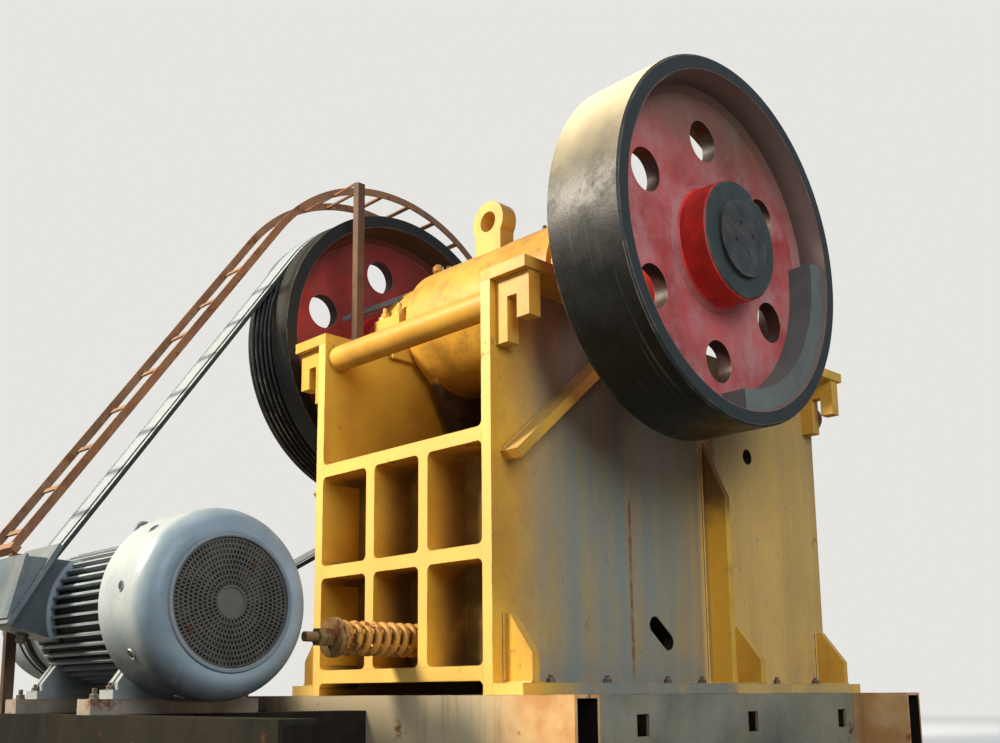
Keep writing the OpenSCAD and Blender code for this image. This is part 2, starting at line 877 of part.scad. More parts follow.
module motor_body() {
    color(motor_grey) difference() {
        union() {
            translate([0, motor_y, motor_z]) {
                rod_x(motor_x0, motor_x0 + shield_l, motor_r - 6);
                rod_x(motor_x0 - 22, motor_x0 + 1, 120);
                rod_x(cowl_x0 - shield_l, cowl_x0, motor_r - 6);
                slab_x(motor_x0 + shield_l - 1, cowl_x0 - motor_x0 - 2 * shield_l + 2) {
                    circle(r = core_r, $fn = 96);
                    for (i = [0 : fins - 1]) {
                        rotate(360 * (i + 0.5) / fins) translate([core_r - 20, -4.5])
                            square([motor_r - core_r + 20, 9]);
                    }
                }
            }
            for (x = foot_places) {
                block(x, motor_y - 254, motor_z - motor_h, foot_w, 508, 30);
                for (side = [18, foot_w - 42]) {
                    translate([0, motor_y, motor_z]) slab_x(x + side, 24) polygon([
                        [-230, 1 - motor_h], [-230, 55 - motor_h], [-150, -150],
                        [150, -150], [230, 55 - motor_h], [230, 1 - motor_h]
                    ]);
                }
            }
            on_box_side() slab_x(box_x + 30, box_l - 130) polygon([
                [-neck_r, flange_low + 16], [-neck_r, 30], [-0.79 * core_r, 0.5 * core_r],
                [-0.14 * core_r, -0.63 * core_r], [-0.51 * core_r, -0.85 * core_r]
            ]);
        }
        translate([0, motor_y, motor_z])
            rod_x(motor_x0 - 23, motor_x0 + bore_depth, motor_shaft_d / 2 + running_gap);
    }
}

cowl_round = 85;
grille_r = 222;

// The fan cowl: a drum with a well rounded front edge and a shallow round recess for the grille
module fan_cowl() {
    color(motor_grey) translate([cowl_x0, motor_y, motor_z]) rotate([0, 90, 0])
        rotate_extrude($fn = 96) difference() {
        square([cowl_r, cowl_l]);
        translate([cowl_r - cowl_round, cowl_l - cowl_round]) difference() {
            square(cowl_round + 1);
            circle(r = cowl_round, $fn = 64);
        }
        translate([0, cowl_l - 12]) square([grille_r, 13]);
    }
}

// The terminal box stands on a sloping flange: a wedge with its lid on the steeper outer side
module terminal_box() {
    lid = 10;
    lip = 6;
    low = flange_low + 26;
    high = low + 254;
    top = high - 38;
    rise = 66;
    lean = atan2(rise, top - low);
    color(motor_grey) on_box_side() union() {
        block(box_x - 14, -box_face, flange_low, box_l + 28, box_flange, high + 62 - flange_low);
        slab_x(box_x, box_l)
            polygon([[1 - box_face, low], [-box_face, low], [-box_face - rise, top], [1 - box_face, high]]);
        translate([0, -box_face, low]) rotate([lean, 0, 0])
            block(box_x - 8, -lid, -lip, box_l + 16, lid + 1, norm([rise, top - low]) + 2 * lip);
    }
}

module motor_shaft() {
    color(steel) translate([0, motor_y, motor_z])
        rod_x(belt_x - belts * belt_pitch / 2, motor_x0 + bore_depth - 1, motor_shaft_d / 2);
}

module motor_pulley() {
    half = belts * belt_pitch / 2 + 12;
    points = concat(
        [[motor_shaft_d / 2, -half], [pulley_r, -half]],
        [for (i = [0 : belts - 1], p = groove_points(belt_place(i), pulley_r)) p],
        [[pulley_r, half], [motor_shaft_d / 2, half]]
    );
    color(dark) translate([belt_x, motor_y, motor_z]) rotate([0, 90, 0])
        rotate_extrude($fn = 96) polygon(points);
}

// Belts

span = norm([shaft_y - motor_y, shaft_z - motor_z]);
span_angle = atan2(shaft_z - motor_z, shaft_y - motor_y);

lean = asin((sheave_belt_r - pulley_belt_r) / span);

// The outline of a loop whose surface lies at these radii on the two wheels, in the Y-Z plane
module loop(r_big, r_small) {
    up = 90 + span_angle + lean;
    down = span_angle - 90 - lean;
    big = r_big - 0.02;
    small = r_small - 0.02;
    translate([motor_y, motor_z]) circle(r = r_small, $fn = 96);
    translate([shaft_y, shaft_z]) circle(r = r_big, $fn = 128);
    polygon([
        [motor_y + small * cos(up), motor_z + small * sin(up)],
        [shaft_y + big * cos(up), shaft_z + big * sin(up)],
        [shaft_y + big * cos(down), shaft_z + big * sin(down)],
        [motor_y + small * cos(down), motor_z + small * sin(down)]
    ]);
}

// A stretch of the belt's depth, from d0 to d1 below its top
module belt_layer(d0, d1, half) {
    translate([-half, 0, 0]) rotate([90, 0, 90]) linear_extrude(2 * half) difference() {
        loop(sheave_belt_r + belt_t - d0, pulley_belt_r + belt_t - d0);
        loop(sheave_belt_r + belt_t - d1, pulley_belt_r + belt_t - d1);
    }
}

// One belt: a wide top and a narrower foot, as a V belt has
module belt() {
    d = belt_t / 2;
    belt_layer(0, d, belt_half(d));
    belt_layer(d - 1, belt_t, belt_half(belt_t));
}

module drive_belts() {
    color([0.75, 0.75, 0.72]) for (i = [0 : belts - 1]) {
        translate([belt_x + belt_place(i), 0, 0]) belt();
    }
}

// Guard

guard_half = 125;
belt_rise = span_angle + lean;
guard_run = 2060;
post_x = -body_w / 2 - bracket_reach;
post_w = 40;
post_y = rear_y + 320;
post_angle = 180 - acos((shaft_y - post_y - post_w / 2) / guard_r);

module guard_arc(x) {
    slab_x(x - guard_t / 2, guard_t) intersection() {
        difference() {
            translate([shaft_y, shaft_z]) circle(r = guard_r + guard_bar, $fn = 128);
            translate([shaft_y, shaft_z]) circle(r = guard_r, $fn = 128);
        }
        polygon(concat(
            [[shaft_y, shaft_z]],
            [for (a = [18, 60, 100, belt_rise + 90]) [shaft_y + 1600 * cos(a), shaft_z + 1600 * sin(a)]]
        ));
    }
}

// A flat bar across the guard, from x0 to x1 at an angle on the guard's arc
module rung(a, x0, x1) {
    translate([x0, shaft_y, shaft_z]) rotate([a, 0, 0]) translate([0, guard_r + 4, -12])
        cube([x1 - x0, 8, 24]);
}

module guard_arcs() {
    color(rust) {
        guard_arc(belt_x - guard_half);
        guard_arc(belt_x + guard_half);
        for (a = [24 : 12 : 108]) {
            rung(a, belt_x - guard_half, belt_x + guard_half);
        }
        rung(post_angle, belt_x - guard_half, post_x);
    }
}

module guard_bars() {
    color(rust) translate([0, shaft_y, shaft_z]) rotate([belt_rise + 90, 0, 0]) {
        for (x = [-guard_half, guard_half]) {
            translate([belt_x + x - guard_t / 2, guard_r, 0]) cube([guard_t, guard_bar, guard_run]);
        }
        for (d = [240 : 240 : guard_run - 100]) {
            translate([belt_x - guard_half, guard_r + 4, d]) cube([2 * guard_half, 8, 24]);
        }
        translate([belt_x - guard_half, guard_r, guard_run - 30])
            cube([foot_post_x + 30 - belt_x + guard_half, guard_bar, 30]);
    }
}

foot_post_x = motor_x0 - 37;
guard_end_y = shaft_y + guard_r * cos(belt_rise + 90) - guard_run * cos(belt_rise);
guard_end_z = shaft_z + guard_r * sin(belt_rise + 90) - guard_run * sin(belt_rise);

module guard_posts() {
    color(rust) {
        block(foot_post_x, guard_end_y - 20, platform_z, 30, 40, guard_end_z - seat - platform_z);
        block(post_x, post_y, top_z + bracket_t, post_w, post_w, shaft_h - body_h + guard_r - 150);
    }
}

side_plate_left();
side_plate_right();
foot_flanges();
foot_gussets();
side_ribs();
corner_brackets();
rear_rails();
rear_ribs();
rear_plate();
tie_tube();
front_wall();
front_rails();
fixed_jaw_plate();
cheek_plates();
bearing_base_left();
bearing_base_right();
bearing_cap_left();
bearing_cap_right();
toggle_seat();
toggle_plate();
tension_rod();
tension_spring();
hitch_rings();
base_cross_beams();
base_side_beams();
motor_platform();
motor_bearers();
motor_rails();
motor_body();
fan_cowl();
terminal_box();
drive_belts();
guard_bars();
guard_arcs();
guard_posts();
eccentric_shaft();
flywheel();
sheave();
counterweights();
hub_plates();
pitman();
swing_jaw_plate();
lifting_lug();
motor_shaft();
motor_pulley();
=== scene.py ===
import bpy
import bmesh
import random
from math import acos, atan2, cos, hypot, radians, sin, tau
from mathutils import Matrix, Vector


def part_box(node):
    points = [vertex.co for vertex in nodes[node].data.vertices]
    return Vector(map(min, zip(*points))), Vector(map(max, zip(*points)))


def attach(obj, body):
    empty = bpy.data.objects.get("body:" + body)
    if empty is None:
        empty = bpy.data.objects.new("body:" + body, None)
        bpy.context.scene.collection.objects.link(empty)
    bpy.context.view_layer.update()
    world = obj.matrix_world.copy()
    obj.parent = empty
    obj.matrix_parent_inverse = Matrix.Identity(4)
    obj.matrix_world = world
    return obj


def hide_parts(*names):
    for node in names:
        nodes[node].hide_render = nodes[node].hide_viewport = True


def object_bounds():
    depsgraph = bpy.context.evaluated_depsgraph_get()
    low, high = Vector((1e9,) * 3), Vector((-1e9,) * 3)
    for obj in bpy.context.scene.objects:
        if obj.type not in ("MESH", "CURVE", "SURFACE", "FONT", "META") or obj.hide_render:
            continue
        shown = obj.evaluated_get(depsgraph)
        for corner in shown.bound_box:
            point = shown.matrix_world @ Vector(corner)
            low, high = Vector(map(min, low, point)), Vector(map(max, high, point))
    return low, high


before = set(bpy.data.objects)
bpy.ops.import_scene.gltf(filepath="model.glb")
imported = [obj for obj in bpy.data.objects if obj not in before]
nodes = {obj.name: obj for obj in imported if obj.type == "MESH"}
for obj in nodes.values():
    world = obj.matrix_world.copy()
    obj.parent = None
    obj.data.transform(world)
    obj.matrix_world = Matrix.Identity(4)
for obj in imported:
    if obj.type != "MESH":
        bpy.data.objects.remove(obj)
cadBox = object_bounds()
scene = bpy.context.scene
print("frame loaded:", len(nodes), "nodes")


def centreOf(name):  # the Y and Z of the middle of a CAD node's box
    lo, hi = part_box(name)
    return (lo.y + hi.y) / 2, (lo.z + hi.z) / 2


def barrelAxis(radius=0.310, fromLug=0.160):  # the Y and Z of the pitman's round barrel
    return centreOf("lifting_lug")[0] + fromLug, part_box("pitman")[1].z - radius


# Node helpers

def linearColour(hexCode):  # a written colour such as d89a22, in the linear values that a shader takes
    parts = [int(hexCode[i:i + 2], 16) / 255 for i in (0, 2, 4)]
    return tuple(c / 12.92 if c <= 0.04045 else ((c + 0.055) / 1.055) ** 2.4 for c in parts) + (1.0,)


class Value:  # an output in the node tree in hand; the usual signs add the nodes that do its sums
    tree = None

    def __init__(self, socket):
        self.socket = socket

    def __add__(self, other):
        return calc("ADD", self, other)

    def __sub__(self, other):
        return calc("SUBTRACT", self, other)

    def __rsub__(self, other):
        return calc("SUBTRACT", other, self)

    def __mul__(self, other):
        return calc("MULTIPLY", self, other)

    def __abs__(self):
        return calc("ABSOLUTE", self)


def feed(socket, value):  # a socket linked to a value, or set to a number or a written colour
    if isinstance(value, Value):
        Value.tree.links.new(value.socket, socket)
    else:
        socket.default_value = linearColour(value) if isinstance(value, str) else value


def newNode(kind, inputs=None, **settings):
    node = Value.tree.nodes.new("ShaderNode" + kind)
    for key, value in settings.items():
        setattr(node, key, value)
    for key, value in (inputs or {}).items():
        feed(node.inputs[key], value)
    return node


def put(kind, inputs=None, output=0, **settings):  # one output of a new node
    return Value(newNode(kind, inputs, **settings).outputs[output])


def mix(factor, first, second):
    return put("Mix", {0: factor, 6: first, 7: second}, 2, data_type="RGBA")


def mixValues(factor, first, second):
    return put("Mix", {0: factor, 2: first, 3: second})


def calc(operation, first, second=0.5, clamp=False):
    return put("Math", {0: first, 1: second}, operation=operation, use_clamp=clamp)


def larger(first, second):
    return calc("MAXIMUM", first, second)


def ramp(value, low, high, toLow=0.0, toHigh=1.0):  # a smooth step from low to high
    return put("MapRange", {"Value": value, "From Min": low, "From Max": high, "To Min": toLow, "To Max": toHigh},
               "Result", interpolation_type="SMOOTHSTEP")


def place():  # where the point is, in metres, on the row's own axes
    return put("TexCoord", output="Object")


def parts(vector):
    node = newNode("SeparateXYZ", {0: vector})
    return {axis: Value(node.outputs[axis]) for axis in "XYZ"}


def pointParts():
    return parts(place())


def facingParts():  # the way the surface faces
    return parts(put("NewGeometry", output="Normal"))


def roundAxis(split, middleY, middleZ):  # a point's Y, Z and radius about an X axis
    y, z = split["Y"] - middleY, split["Z"] - middleZ
    return y, z, calc("SQRT", calc("POWER", y, 2.0) + calc("POWER", z, 2.0))


def noise(scale, detail=4.0, rough=0.55, stretch=(1, 1, 1)):
    spot = put("Mapping", {"Vector": place(), "Scale": stretch})
    return put("TexNoise", {"Vector": spot, "Scale": scale, "Detail": detail, "Roughness": rough})


def evenNoise(scale, detail, rough):
    return put("TexNoise", {"Vector": place(), "Scale": scale, "Detail": detail, "Roughness": rough})


# Shared effects

def newGroup(name, **inputs):
    Value.tree = bpy.data.node_groups.new(name, "ShaderNodeTree")
    for label, value in inputs.items():
        socket = Value.tree.interface.new_socket(name=label, in_out="INPUT", socket_type="NodeSocketFloat")
        socket.default_value = value
    given = Value.tree.nodes.new("NodeGroupInput")
    return [Value(given.outputs[label]) for label in inputs]


def finishGroup(**results):
    for label in results:
        Value.tree.interface.new_socket(name=label, in_out="OUTPUT", socket_type="NodeSocketFloat")
    end = Value.tree.nodes.new("NodeGroupOutput")
    for label, value in results.items():
        feed(end.inputs[label], value)
    return Value.tree


def makeEdgeWear():  # where an edge is rubbed bare
    width, amount = newGroup("edgeWear", Width=0.006, Amount=0.6)
    bevel = put("Bevel", {"Radius": width}, samples=4)
    flat = put("NewGeometry", output="True Normal")
    edge = ramp(put("VectorMath", {0: bevel, 1: flat}, "Value", operation="DOT_PRODUCT"), 0.995, 0.90)
    patchy = ramp(noise(9.0, 5.0, 0.7), 0.42, 0.62)
    return finishGroup(Mask=calc("MULTIPLY", edge * patchy, amount, clamp=True))


def makeStreaks():  # long runs down a wall
    scale, cover, soft = newGroup("streaks", Scale=9.0, Cover=0.5, Soft=0.12)
    mixed = mixValues(0.35, noise(scale, 6.0, 0.62, (1, 1, 0.07)), noise(2.2, 3.0))
    level = 1.0 - cover
    return finishGroup(Mask=ramp(mixed, level - soft, level + soft))


def makeSettledDust():  # dust that lies on what faces up, and a thin film on the rest
    top, film, scale = newGroup("settledDust", Top=0.8, Film=0.25, Scale=14.0)
    grains = evenNoise(scale, 8.0, 0.7)
    most = larger(ramp(facingParts()["Z"], 0.15, 0.85) * top, ramp(grains, 0.35, 0.75) * film)
    return finishGroup(Mask=calc("MULTIPLY", most, ramp(grains, 0.2, 0.6, 0.55, 1.0), clamp=True))


def makeRustSpots():  # pitted rust in patches
    scale, cover = newGroup("rustSpots", Scale=5.0, Cover=0.3)
    level = 1.0 - cover
    mask = ramp(evenNoise(scale, 9.0, 0.68), level - 0.04, level + 0.05)
    return finishGroup(Mask=mask, Height=mask * noise(120.0, 3.0))


def makePaintGrain():  # the slight unevenness of brushed paint over plate
    scale, dents = newGroup("paintGrain", Scale=60.0, Dents=0.4)
    return finishGroup(Height=evenNoise(scale, 5.0, 0.6) + noise(5.0, 2.0) * dents)


edgeWear = makeEdgeWear()
streaks = makeStreaks()
settledDust = makeSettledDust()
rustSpots = makeRustSpots()
paintGrain = makePaintGrain()
print("shared effects made")


def effect(group, **values):  # the outputs of a shared effect, placed in a material with its own values
    node = newNode("Group", values, node_tree=group)
    return {socket.name: Value(socket) for socket in node.outputs}


def runMask(scale, cover, soft=0.16):
    return effect(streaks, Scale=scale, Cover=cover, Soft=soft)["Mask"]


def dustMask(top, film, scale=11.0):
    return effect(settledDust, Top=top, Film=film, Scale=scale)["Mask"]


def rustMask(scale, cover):
    return effect(rustSpots, Scale=scale, Cover=cover)["Mask"]


def twoTone(look, scale, rough=0.6):  # paint that varies softly between a deep and a bright colour
    return mix(ramp(noise(scale, 6.0, rough), 0.3, 0.7), look["deep"], look["bright"])


def wornEdges(colour, bare, width, amount):
    return mix(effect(edgeWear, Width=width, Amount=amount)["Mask"], colour, bare)


def paintHeight(scale, dents):
    return effect(paintGrain, Scale=scale, Dents=dents)["Height"]


def setSurface(material, inputs):
    shader = material.node_tree.nodes["Principled BSDF"]
    for key, value in inputs.items():
        feed(shader.inputs[key], value)
    return shader


def newMaterial(name, roughness=0.5, metallic=0.0, specular=0.5):
    material = bpy.data.materials.new(name)
    material.use_nodes = True
    Value.tree = material.node_tree
    setSurface(material, {"Roughness": roughness, "Metallic": metallic, "Specular IOR Level": specular})
    return material


def finishMaterial(material, colour, rough, height, strength):
    bump = put("Bump", dict(Strength=strength, Distance=0.002, Height=height), "Normal")
    setSurface(material, {"Base Color": colour, "Roughness": rough, "Normal": bump})
    return material


# Materials

def paintedSteel(name, look):  # paint with dust, runs, rust and bare edges
    material = newMaterial(name, specular=look.get("shine", 0.5))
    colour = twoTone(look, 1.6)
    runs = runMask(look["runScale"], look["runs"])
    colour = mix(runs * look["runStrength"], colour, look["dust"])
    dust = dustMask(look["top"], look["film"])
    colour = mix(dust, colour, look["dust"])
    rust = rustMask(look["rustScale"], look["rust"])
    colour = mix(rust, colour, mix(noise(30.0), "4a2a18", "8a4c22"))
    colour = wornEdges(colour, look["bare"], look["edge"], look["wear"])
    rough = mixValues(larger(larger(dust, rust), runs), look["gloss"], 0.85)
    return finishMaterial(material, colour, rough, paintHeight(70.0, 0.5) - rust * 0.5, look["bump"])


frameLook = dict(deep="c08726", bright="e8b642", dust="8f7c56", runScale=16.0, runs=0.36, runStrength=0.35, top=0.35,
                 film=0.22, rustScale=6.0, rust=0.33, edge=0.007, wear=0.7, bare="6d5a40", gloss=0.42, bump=0.35)
framePaint = paintedSteel("framePaint", frameLook)

motorLook = dict(deep="5c6a74", bright="84939c", dust="8e8d86", runScale=9.0, runs=0.42, runStrength=0.30, top=0.5,
                 film=0.35, rustScale=9.0, rust=0.28, edge=0.005, wear=0.6, bare="b4babb", gloss=0.36, bump=0.25)
motorPaint = paintedSteel("motorPaint", motorLook)
# the terminal box: a darker copy of the motor paint, as painted shade
boxShadedPaint = paintedSteel("boxShadedPaint", dict(motorLook, deep="45545b", bright="66767d", film=0.3, top=0.6))

baseLook = dict(deep="525955", bright="9b9785", dust="8d8264", shine=0.25, runScale=7.0, runs=0.44, runStrength=0.5,
                top=0.7, film=0.45, rustScale=4.0, rust=0.38, edge=0.008, wear=0.8, bare="5a4636", gloss=0.6,
                bump=0.5)
baseSteel = paintedSteel("baseSteel", baseLook)

rustLook = dict(deep="54311d", bright="8a5430", dust="a88a68", runScale=8.0, runs=0.46, runStrength=0.35, top=0.55,
                film=0.35, rustScale=7.0, rust=0.55, edge=0.004, wear=0.5, bare="3b2a20", gloss=0.7, bump=0.6)


def facingOut():  # 1 on faces that look away from the machine's middle plane
    return ramp(calc("SIGN", pointParts()["X"]) * facingParts()["X"], 0.6, 0.9)


def facingRear():  # 1 on faces that look to the machine's rear
    return ramp(facingParts()["Y"], -0.6, -0.9)


def wallPaint():  # the side plates: grey and tan dust over the paint behind the tall rib, paint showing past it; painted sunlight on the rear faces, painted shade under the flywheel and on the walls of openings in the plate
    look = dict(clean=0.04, dusty=0.42, rib=1.30, deep="c08726", bright="e6b340", blue="868a80", tan="9e8d67",
                past="e2bc6e", shade="44413a", rust="7e4a20", paintedSunlitTone="f3d47c",
                lines=((0.80, 0.014, 0.02, 0.80), (1.40, 0.055, 0.98, 1.30)), length=2.32, flatTop=1.50)
    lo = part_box("side_plate_right")[0]
    material = newMaterial("wallPaint")
    split = pointParts()
    height = split["Z"] - lo.z
    wobble = (noise(3.0, 5.0, 0.6, (1, 1, 0.2)) - 0.5) * 0.30
    along = split["Y"] - lo.y
    start = ramp(along + wobble, look["clean"], look["dusty"])
    past = ramp(along, look["rib"] - 0.02, look["rib"] + 0.03)
    upward = facingParts()
    face = larger(facingOut(), ramp(upward["Z"], 0.6, 0.9))
    paint = twoTone(look, 1.7)
    # paler paint on the faces that look to the rear: painted sunlight
    paint = mix(facingRear() * 0.65, paint, look["paintedSunlitTone"])
    band = ramp(noise(7.0, 5.0, 0.6, (1, 1, 0.05)), 0.38, 0.62)
    film = mix(band, look["blue"], look["tan"])
    bare = ramp(noise(6.0, 5.0, 0.6, (1, 1, 0.07)), 0.36, 0.64, 0.52, 0.92)
    film = mix(past * bare, film, look["past"])
    runs = runMask(13.0, 0.56)
    cover = start * ramp(runs, 0.0, 1.0, 0.80, 1.0)
    cover *= mixValues(past, 1.0, 0.72)
    colour = mix(cover * face, paint, film)
    specks = ramp(noise(45.0, 6.0, 0.7), 0.56, 0.70, 0.0, 0.35)
    colour = mix(specks * face, colour, "57503f")
    # painted shade from the flywheel: darker high on the plate beneath the wheel
    under = ramp(height, 0.75, 1.25) * ramp(along, 0.25, 0.80)
    under = under * face * ramp(along, 2.1, 1.4, 0.25, 0.72)
    colour = mix(under, colour, look["shade"])
    foot = ramp(height, 0.22, 0.05) * ramp(noise(9.0, 6.0), 0.35, 0.6, 0.2, 0.75)
    foot *= mixValues(past, 1.0, 0.25)
    colour = mix(foot * (face * start), colour, "83827a")
    lineField = []
    for where, width, bottom, top in look["lines"]:
        bend = wobble * 0.10
        near = abs(along + bend - where)
        line = ramp(near, width, width * 0.3) * ramp(height, top + 0.04, top - 0.04)
        lineField.append(line * ramp(height, bottom, bottom + 0.10))
    drip = larger(lineField[0], lineField[1]) * ramp(noise(25.0, 4.0), 0.3, 0.6, 0.35, 0.9)
    colour = mix(drip * face, colour, look["rust"])
    rust = rustMask(5.0, 0.33)
    colour = mix(rust, colour, "6b3d1e")
    # the walls of openings inside the plate painted near black: painted shade
    cutFace = ramp(abs(upward["X"]), 0.5, 0.3)
    inner = ramp(along, 0.04, 0.05) * ramp(along, look["length"] - 0.04, look["length"] - 0.05)
    inner *= ramp(height, 0.05, 0.06) * ramp(height, look["flatTop"], look["flatTop"] - 0.01)
    colour = mix(cutFace * inner, colour, "2a2216")
    colour = wornEdges(colour, "6d5a40", 0.007, 0.7)
    rough = mixValues(larger(cover * face, rust), 0.40, 0.88)
    return finishMaterial(material, colour, rough, paintHeight(60.0, 0.7), 0.35)


def ribPaint():  # the tall ribs: dust in the corner at the plate, the flywheel's painted shadow on top, bright paint outside, painted sunlight on the rear face
    look = dict(dust="77715f", ribTopShadow="54301b", ribTopShadowFrom=1.12, paintedSunOnRib="f7b83c", rib=1.3456)
    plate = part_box("side_plate_right")
    material = newMaterial("ribPaint")
    split = pointParts()
    across = abs(split["X"]) - plate[1][0]
    near = ramp(abs(split["Y"] - (plate[0][1] + look["rib"])), 0.06, 0.03)
    colour = twoTone(frameLook, 1.6)
    # painted sunlight: bright paint on the rear face of the rib, which lies in shade
    colour = mix(near * facingRear(), colour, look["paintedSunOnRib"])
    corner = near * ramp(across, 0.030, 0.004, 0.0, 0.7)
    colour = mix(corner, colour, look["dust"])
    # painted shadow of the flywheel: dark brown over the top of the rib
    high = split["Z"] + noise(9.0, 5.0) * 0.2
    ribTopShadow = near * ramp(high, look["ribTopShadowFrom"], look["ribTopShadowFrom"] + 0.16, 0.0, 0.85)
    colour = mix(ribTopShadow, colour, look["ribTopShadow"])
    grime = ramp(noise(7.0, 7.0, 0.65), 0.52, 0.74, 0.0, 0.5)
    colour = mix(grime, colour, "7d6232")
    dust = dustMask(0.55, 0.40)
    colour = mix(dust * (1.0 - near), colour, "b7a074")
    colour = wornEdges(colour, "7d6338", 0.006, 0.6)
    rough = mixValues(larger(corner, ribTopShadow), 0.40, 0.85)
    return finishMaterial(material, colour, rough, paintHeight(70.0, 0.5), 0.35)


def pocketPaint():  # the rear wall: clean paint on its rearmost faces with painted sunlight, brown dirt and painted shade inside the pockets, darker further in
    look = dict(upper="604518", lower="3f3119", grit="5f5848", lip=0.010, paintedSunlitTone="f0d078")
    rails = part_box("rear_rails")
    material = newMaterial("pocketPaint")
    split = pointParts()
    paint = twoTone(frameLook, 1.6)
    # paler paint on the faces that look to the rear: painted sunlight
    paint = mix(facingRear() * 0.60, paint, look["paintedSunlitTone"])
    # brown dirt and painted shade, stronger deeper into each pocket
    inside = ramp(split["Y"], rails[0][1] + look["lip"], rails[0][1] + 0.16, 0.0, 0.85)
    inside *= ramp(noise(6.0, 6.0), 0.25, 0.55, 0.65, 1.0)
    middle = (rails[0][2] + rails[1][2]) / 2
    pocketDirtAndShade = mix(ramp(split["Z"], middle - 0.15, middle + 0.15), look["lower"], look["upper"])
    normal = facingParts()
    lying = ramp(normal["Z"], 0.5, 0.9) * ramp(noise(14.0, 6.0), 0.3, 0.6)
    pocketDirtAndShade = mix(lying, pocketDirtAndShade, look["grit"])
    colour = mix(inside, paint, pocketDirtAndShade)
    rust = rustMask(7.0, 0.34)
    colour = mix(rust, colour, "6b3d1e")
    colour = wornEdges(colour, "7d6338", 0.007, 0.5)
    rough = mixValues(larger(inside, rust), 0.40, 0.88)
    return finishMaterial(material, colour, rough, paintHeight(70.0, 0.5), 0.35)


def pitmanPaint():  # paint on the barrel, dark and maroon below it
    look = dict(barrel=0.312, deep="c08726", bright="e6b340", maroon="43201a", black="211713")
    material = newMaterial("pitmanPaint")
    radius = roundAxis(pointParts(), *barrelAxis())[2]
    paint = twoTone(look, 2.2)
    grime = ramp(noise(8.0, 7.0, 0.65), 0.50, 0.72, 0.0, 0.55)
    paint = mix(grime, paint, "6f5424")
    dark = mix(ramp(noise(5.0, 6.0), 0.35, 0.65), look["black"], look["maroon"])
    below = ramp(radius + noise(10.0) * 0.02, look["barrel"] + 0.006, look["barrel"] + 0.030)
    colour = mix(below, paint, dark)
    dust = dustMask(0.4, 0.25)
    colour = mix(dust, colour, "86734e")
    rough = mixValues(larger(dust, below), 0.40, 0.80)
    return finishMaterial(material, colour, rough, paintHeight(60.0, 0.7), 0.35)


def motorBodyPaint():  # the finned housing, darker towards the bottom, with painted shade in the gaps between the fins and on faces that look along the shaft outside them
    look = dict(gap=0.238, tip=0.252, shield=0.064, deep="76848e", bright="a8b4ba", dark="2a2d2c", low="3f474b",
                dust="7d7c74", cheek="2c383c", foot="a3aaac")
    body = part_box("motor_body")
    material = newMaterial("motorBodyPaint")
    split = pointParts()
    y, z, radius = roundAxis(split, *centreOf("motor_shaft"))
    colour = twoTone(look, 3.0, 0.55)
    # painted shade: darker towards the bottom
    colour = mix(ramp(z, -0.02, -0.24, 0.0, 0.55), colour, look["low"])
    dust = dustMask(0.5, 0.45, 12.0)
    colour = mix(dust, colour, look["dust"])
    # painted shade on faces that look along the shaft, outside the fins and above the feet
    beyond = ramp(radius, 0.272, 0.280)
    above = ramp(z, -0.20, -0.14)
    normal = facingParts()
    cheek = ramp(abs(normal["X"]), 0.6, 0.9, 0.0, 0.85)
    cheek *= beyond * above
    colour = mix(cheek, colour, look["cheek"])
    foot = ramp(z, -0.16, -0.22) * ramp(abs(y), 0.14, 0.20, 0.0, 0.8)
    colour = mix(foot, colour, look["foot"])
    # painted shade in the gaps between the fins
    gap = ramp(radius, look["tip"], look["gap"])
    gap *= ramp(split["X"], body[0][0] + 0.022 + look["shield"], body[0][0] + 0.026 + look["shield"])
    gap *= ramp(split["X"], body[1][0] - look["shield"], body[1][0] - look["shield"] - 0.004)
    colour = mix(gap * 0.92, colour, look["dark"])
    worn = effect(edgeWear, Width=0.004, Amount=0.6)["Mask"]
    colour = mix(worn * (1.0 - gap), colour, "aab2b4")
    rough = mixValues(larger(dust, gap), 0.36, 0.85)
    return finishMaterial(material, colour, rough, paintHeight(70.0, 0.5), 0.25)


def cowlPaint():  # slate paint, with painted shade on what faces down, a painted highlight on what faces up and to the rear, and a dusty film
    look = dict(deep="70848f", bright="9eb1bd", low="343d42", dust="9a9a94", pale="b9c1c0")
    material = newMaterial("cowlPaint")
    normal = facingParts()
    colour = twoTone(look, 2.6, 0.55)
    # painted shade on what faces down
    colour = mix(ramp(normal["Z"], 0.05, -0.75, 0.0, 0.72), colour, look["low"])
    # painted highlight on what faces up and to the rear, less on the front ring
    rearward = normal["Z"] - normal["Y"]
    pale = ramp(rearward, 0.30, 1.15) * ramp(noise(6.0, 6.0), 0.3, 0.6, 0.5, 0.9)
    pale *= ramp(normal["X"], 0.60, 0.15, 0.12, 1.0)
    colour = mix(pale, colour, look["pale"])
    film = ramp(noise(18.0, 8.0, 0.7), 0.42, 0.72, 0.0, 0.40)
    colour = mix(film, colour, look["dust"])
    chips = ramp(noise(34.0, 6.0, 0.7), 0.66, 0.70, 0.0, 0.7)
    colour = mix(chips, colour, "3c3a36")
    colour = wornEdges(colour, "b9c0c2", 0.005, 0.6)
    rough = mixValues(film, 0.34, 0.75)
    return finishMaterial(material, colour, rough, paintHeight(70.0, 0.5), 0.22)


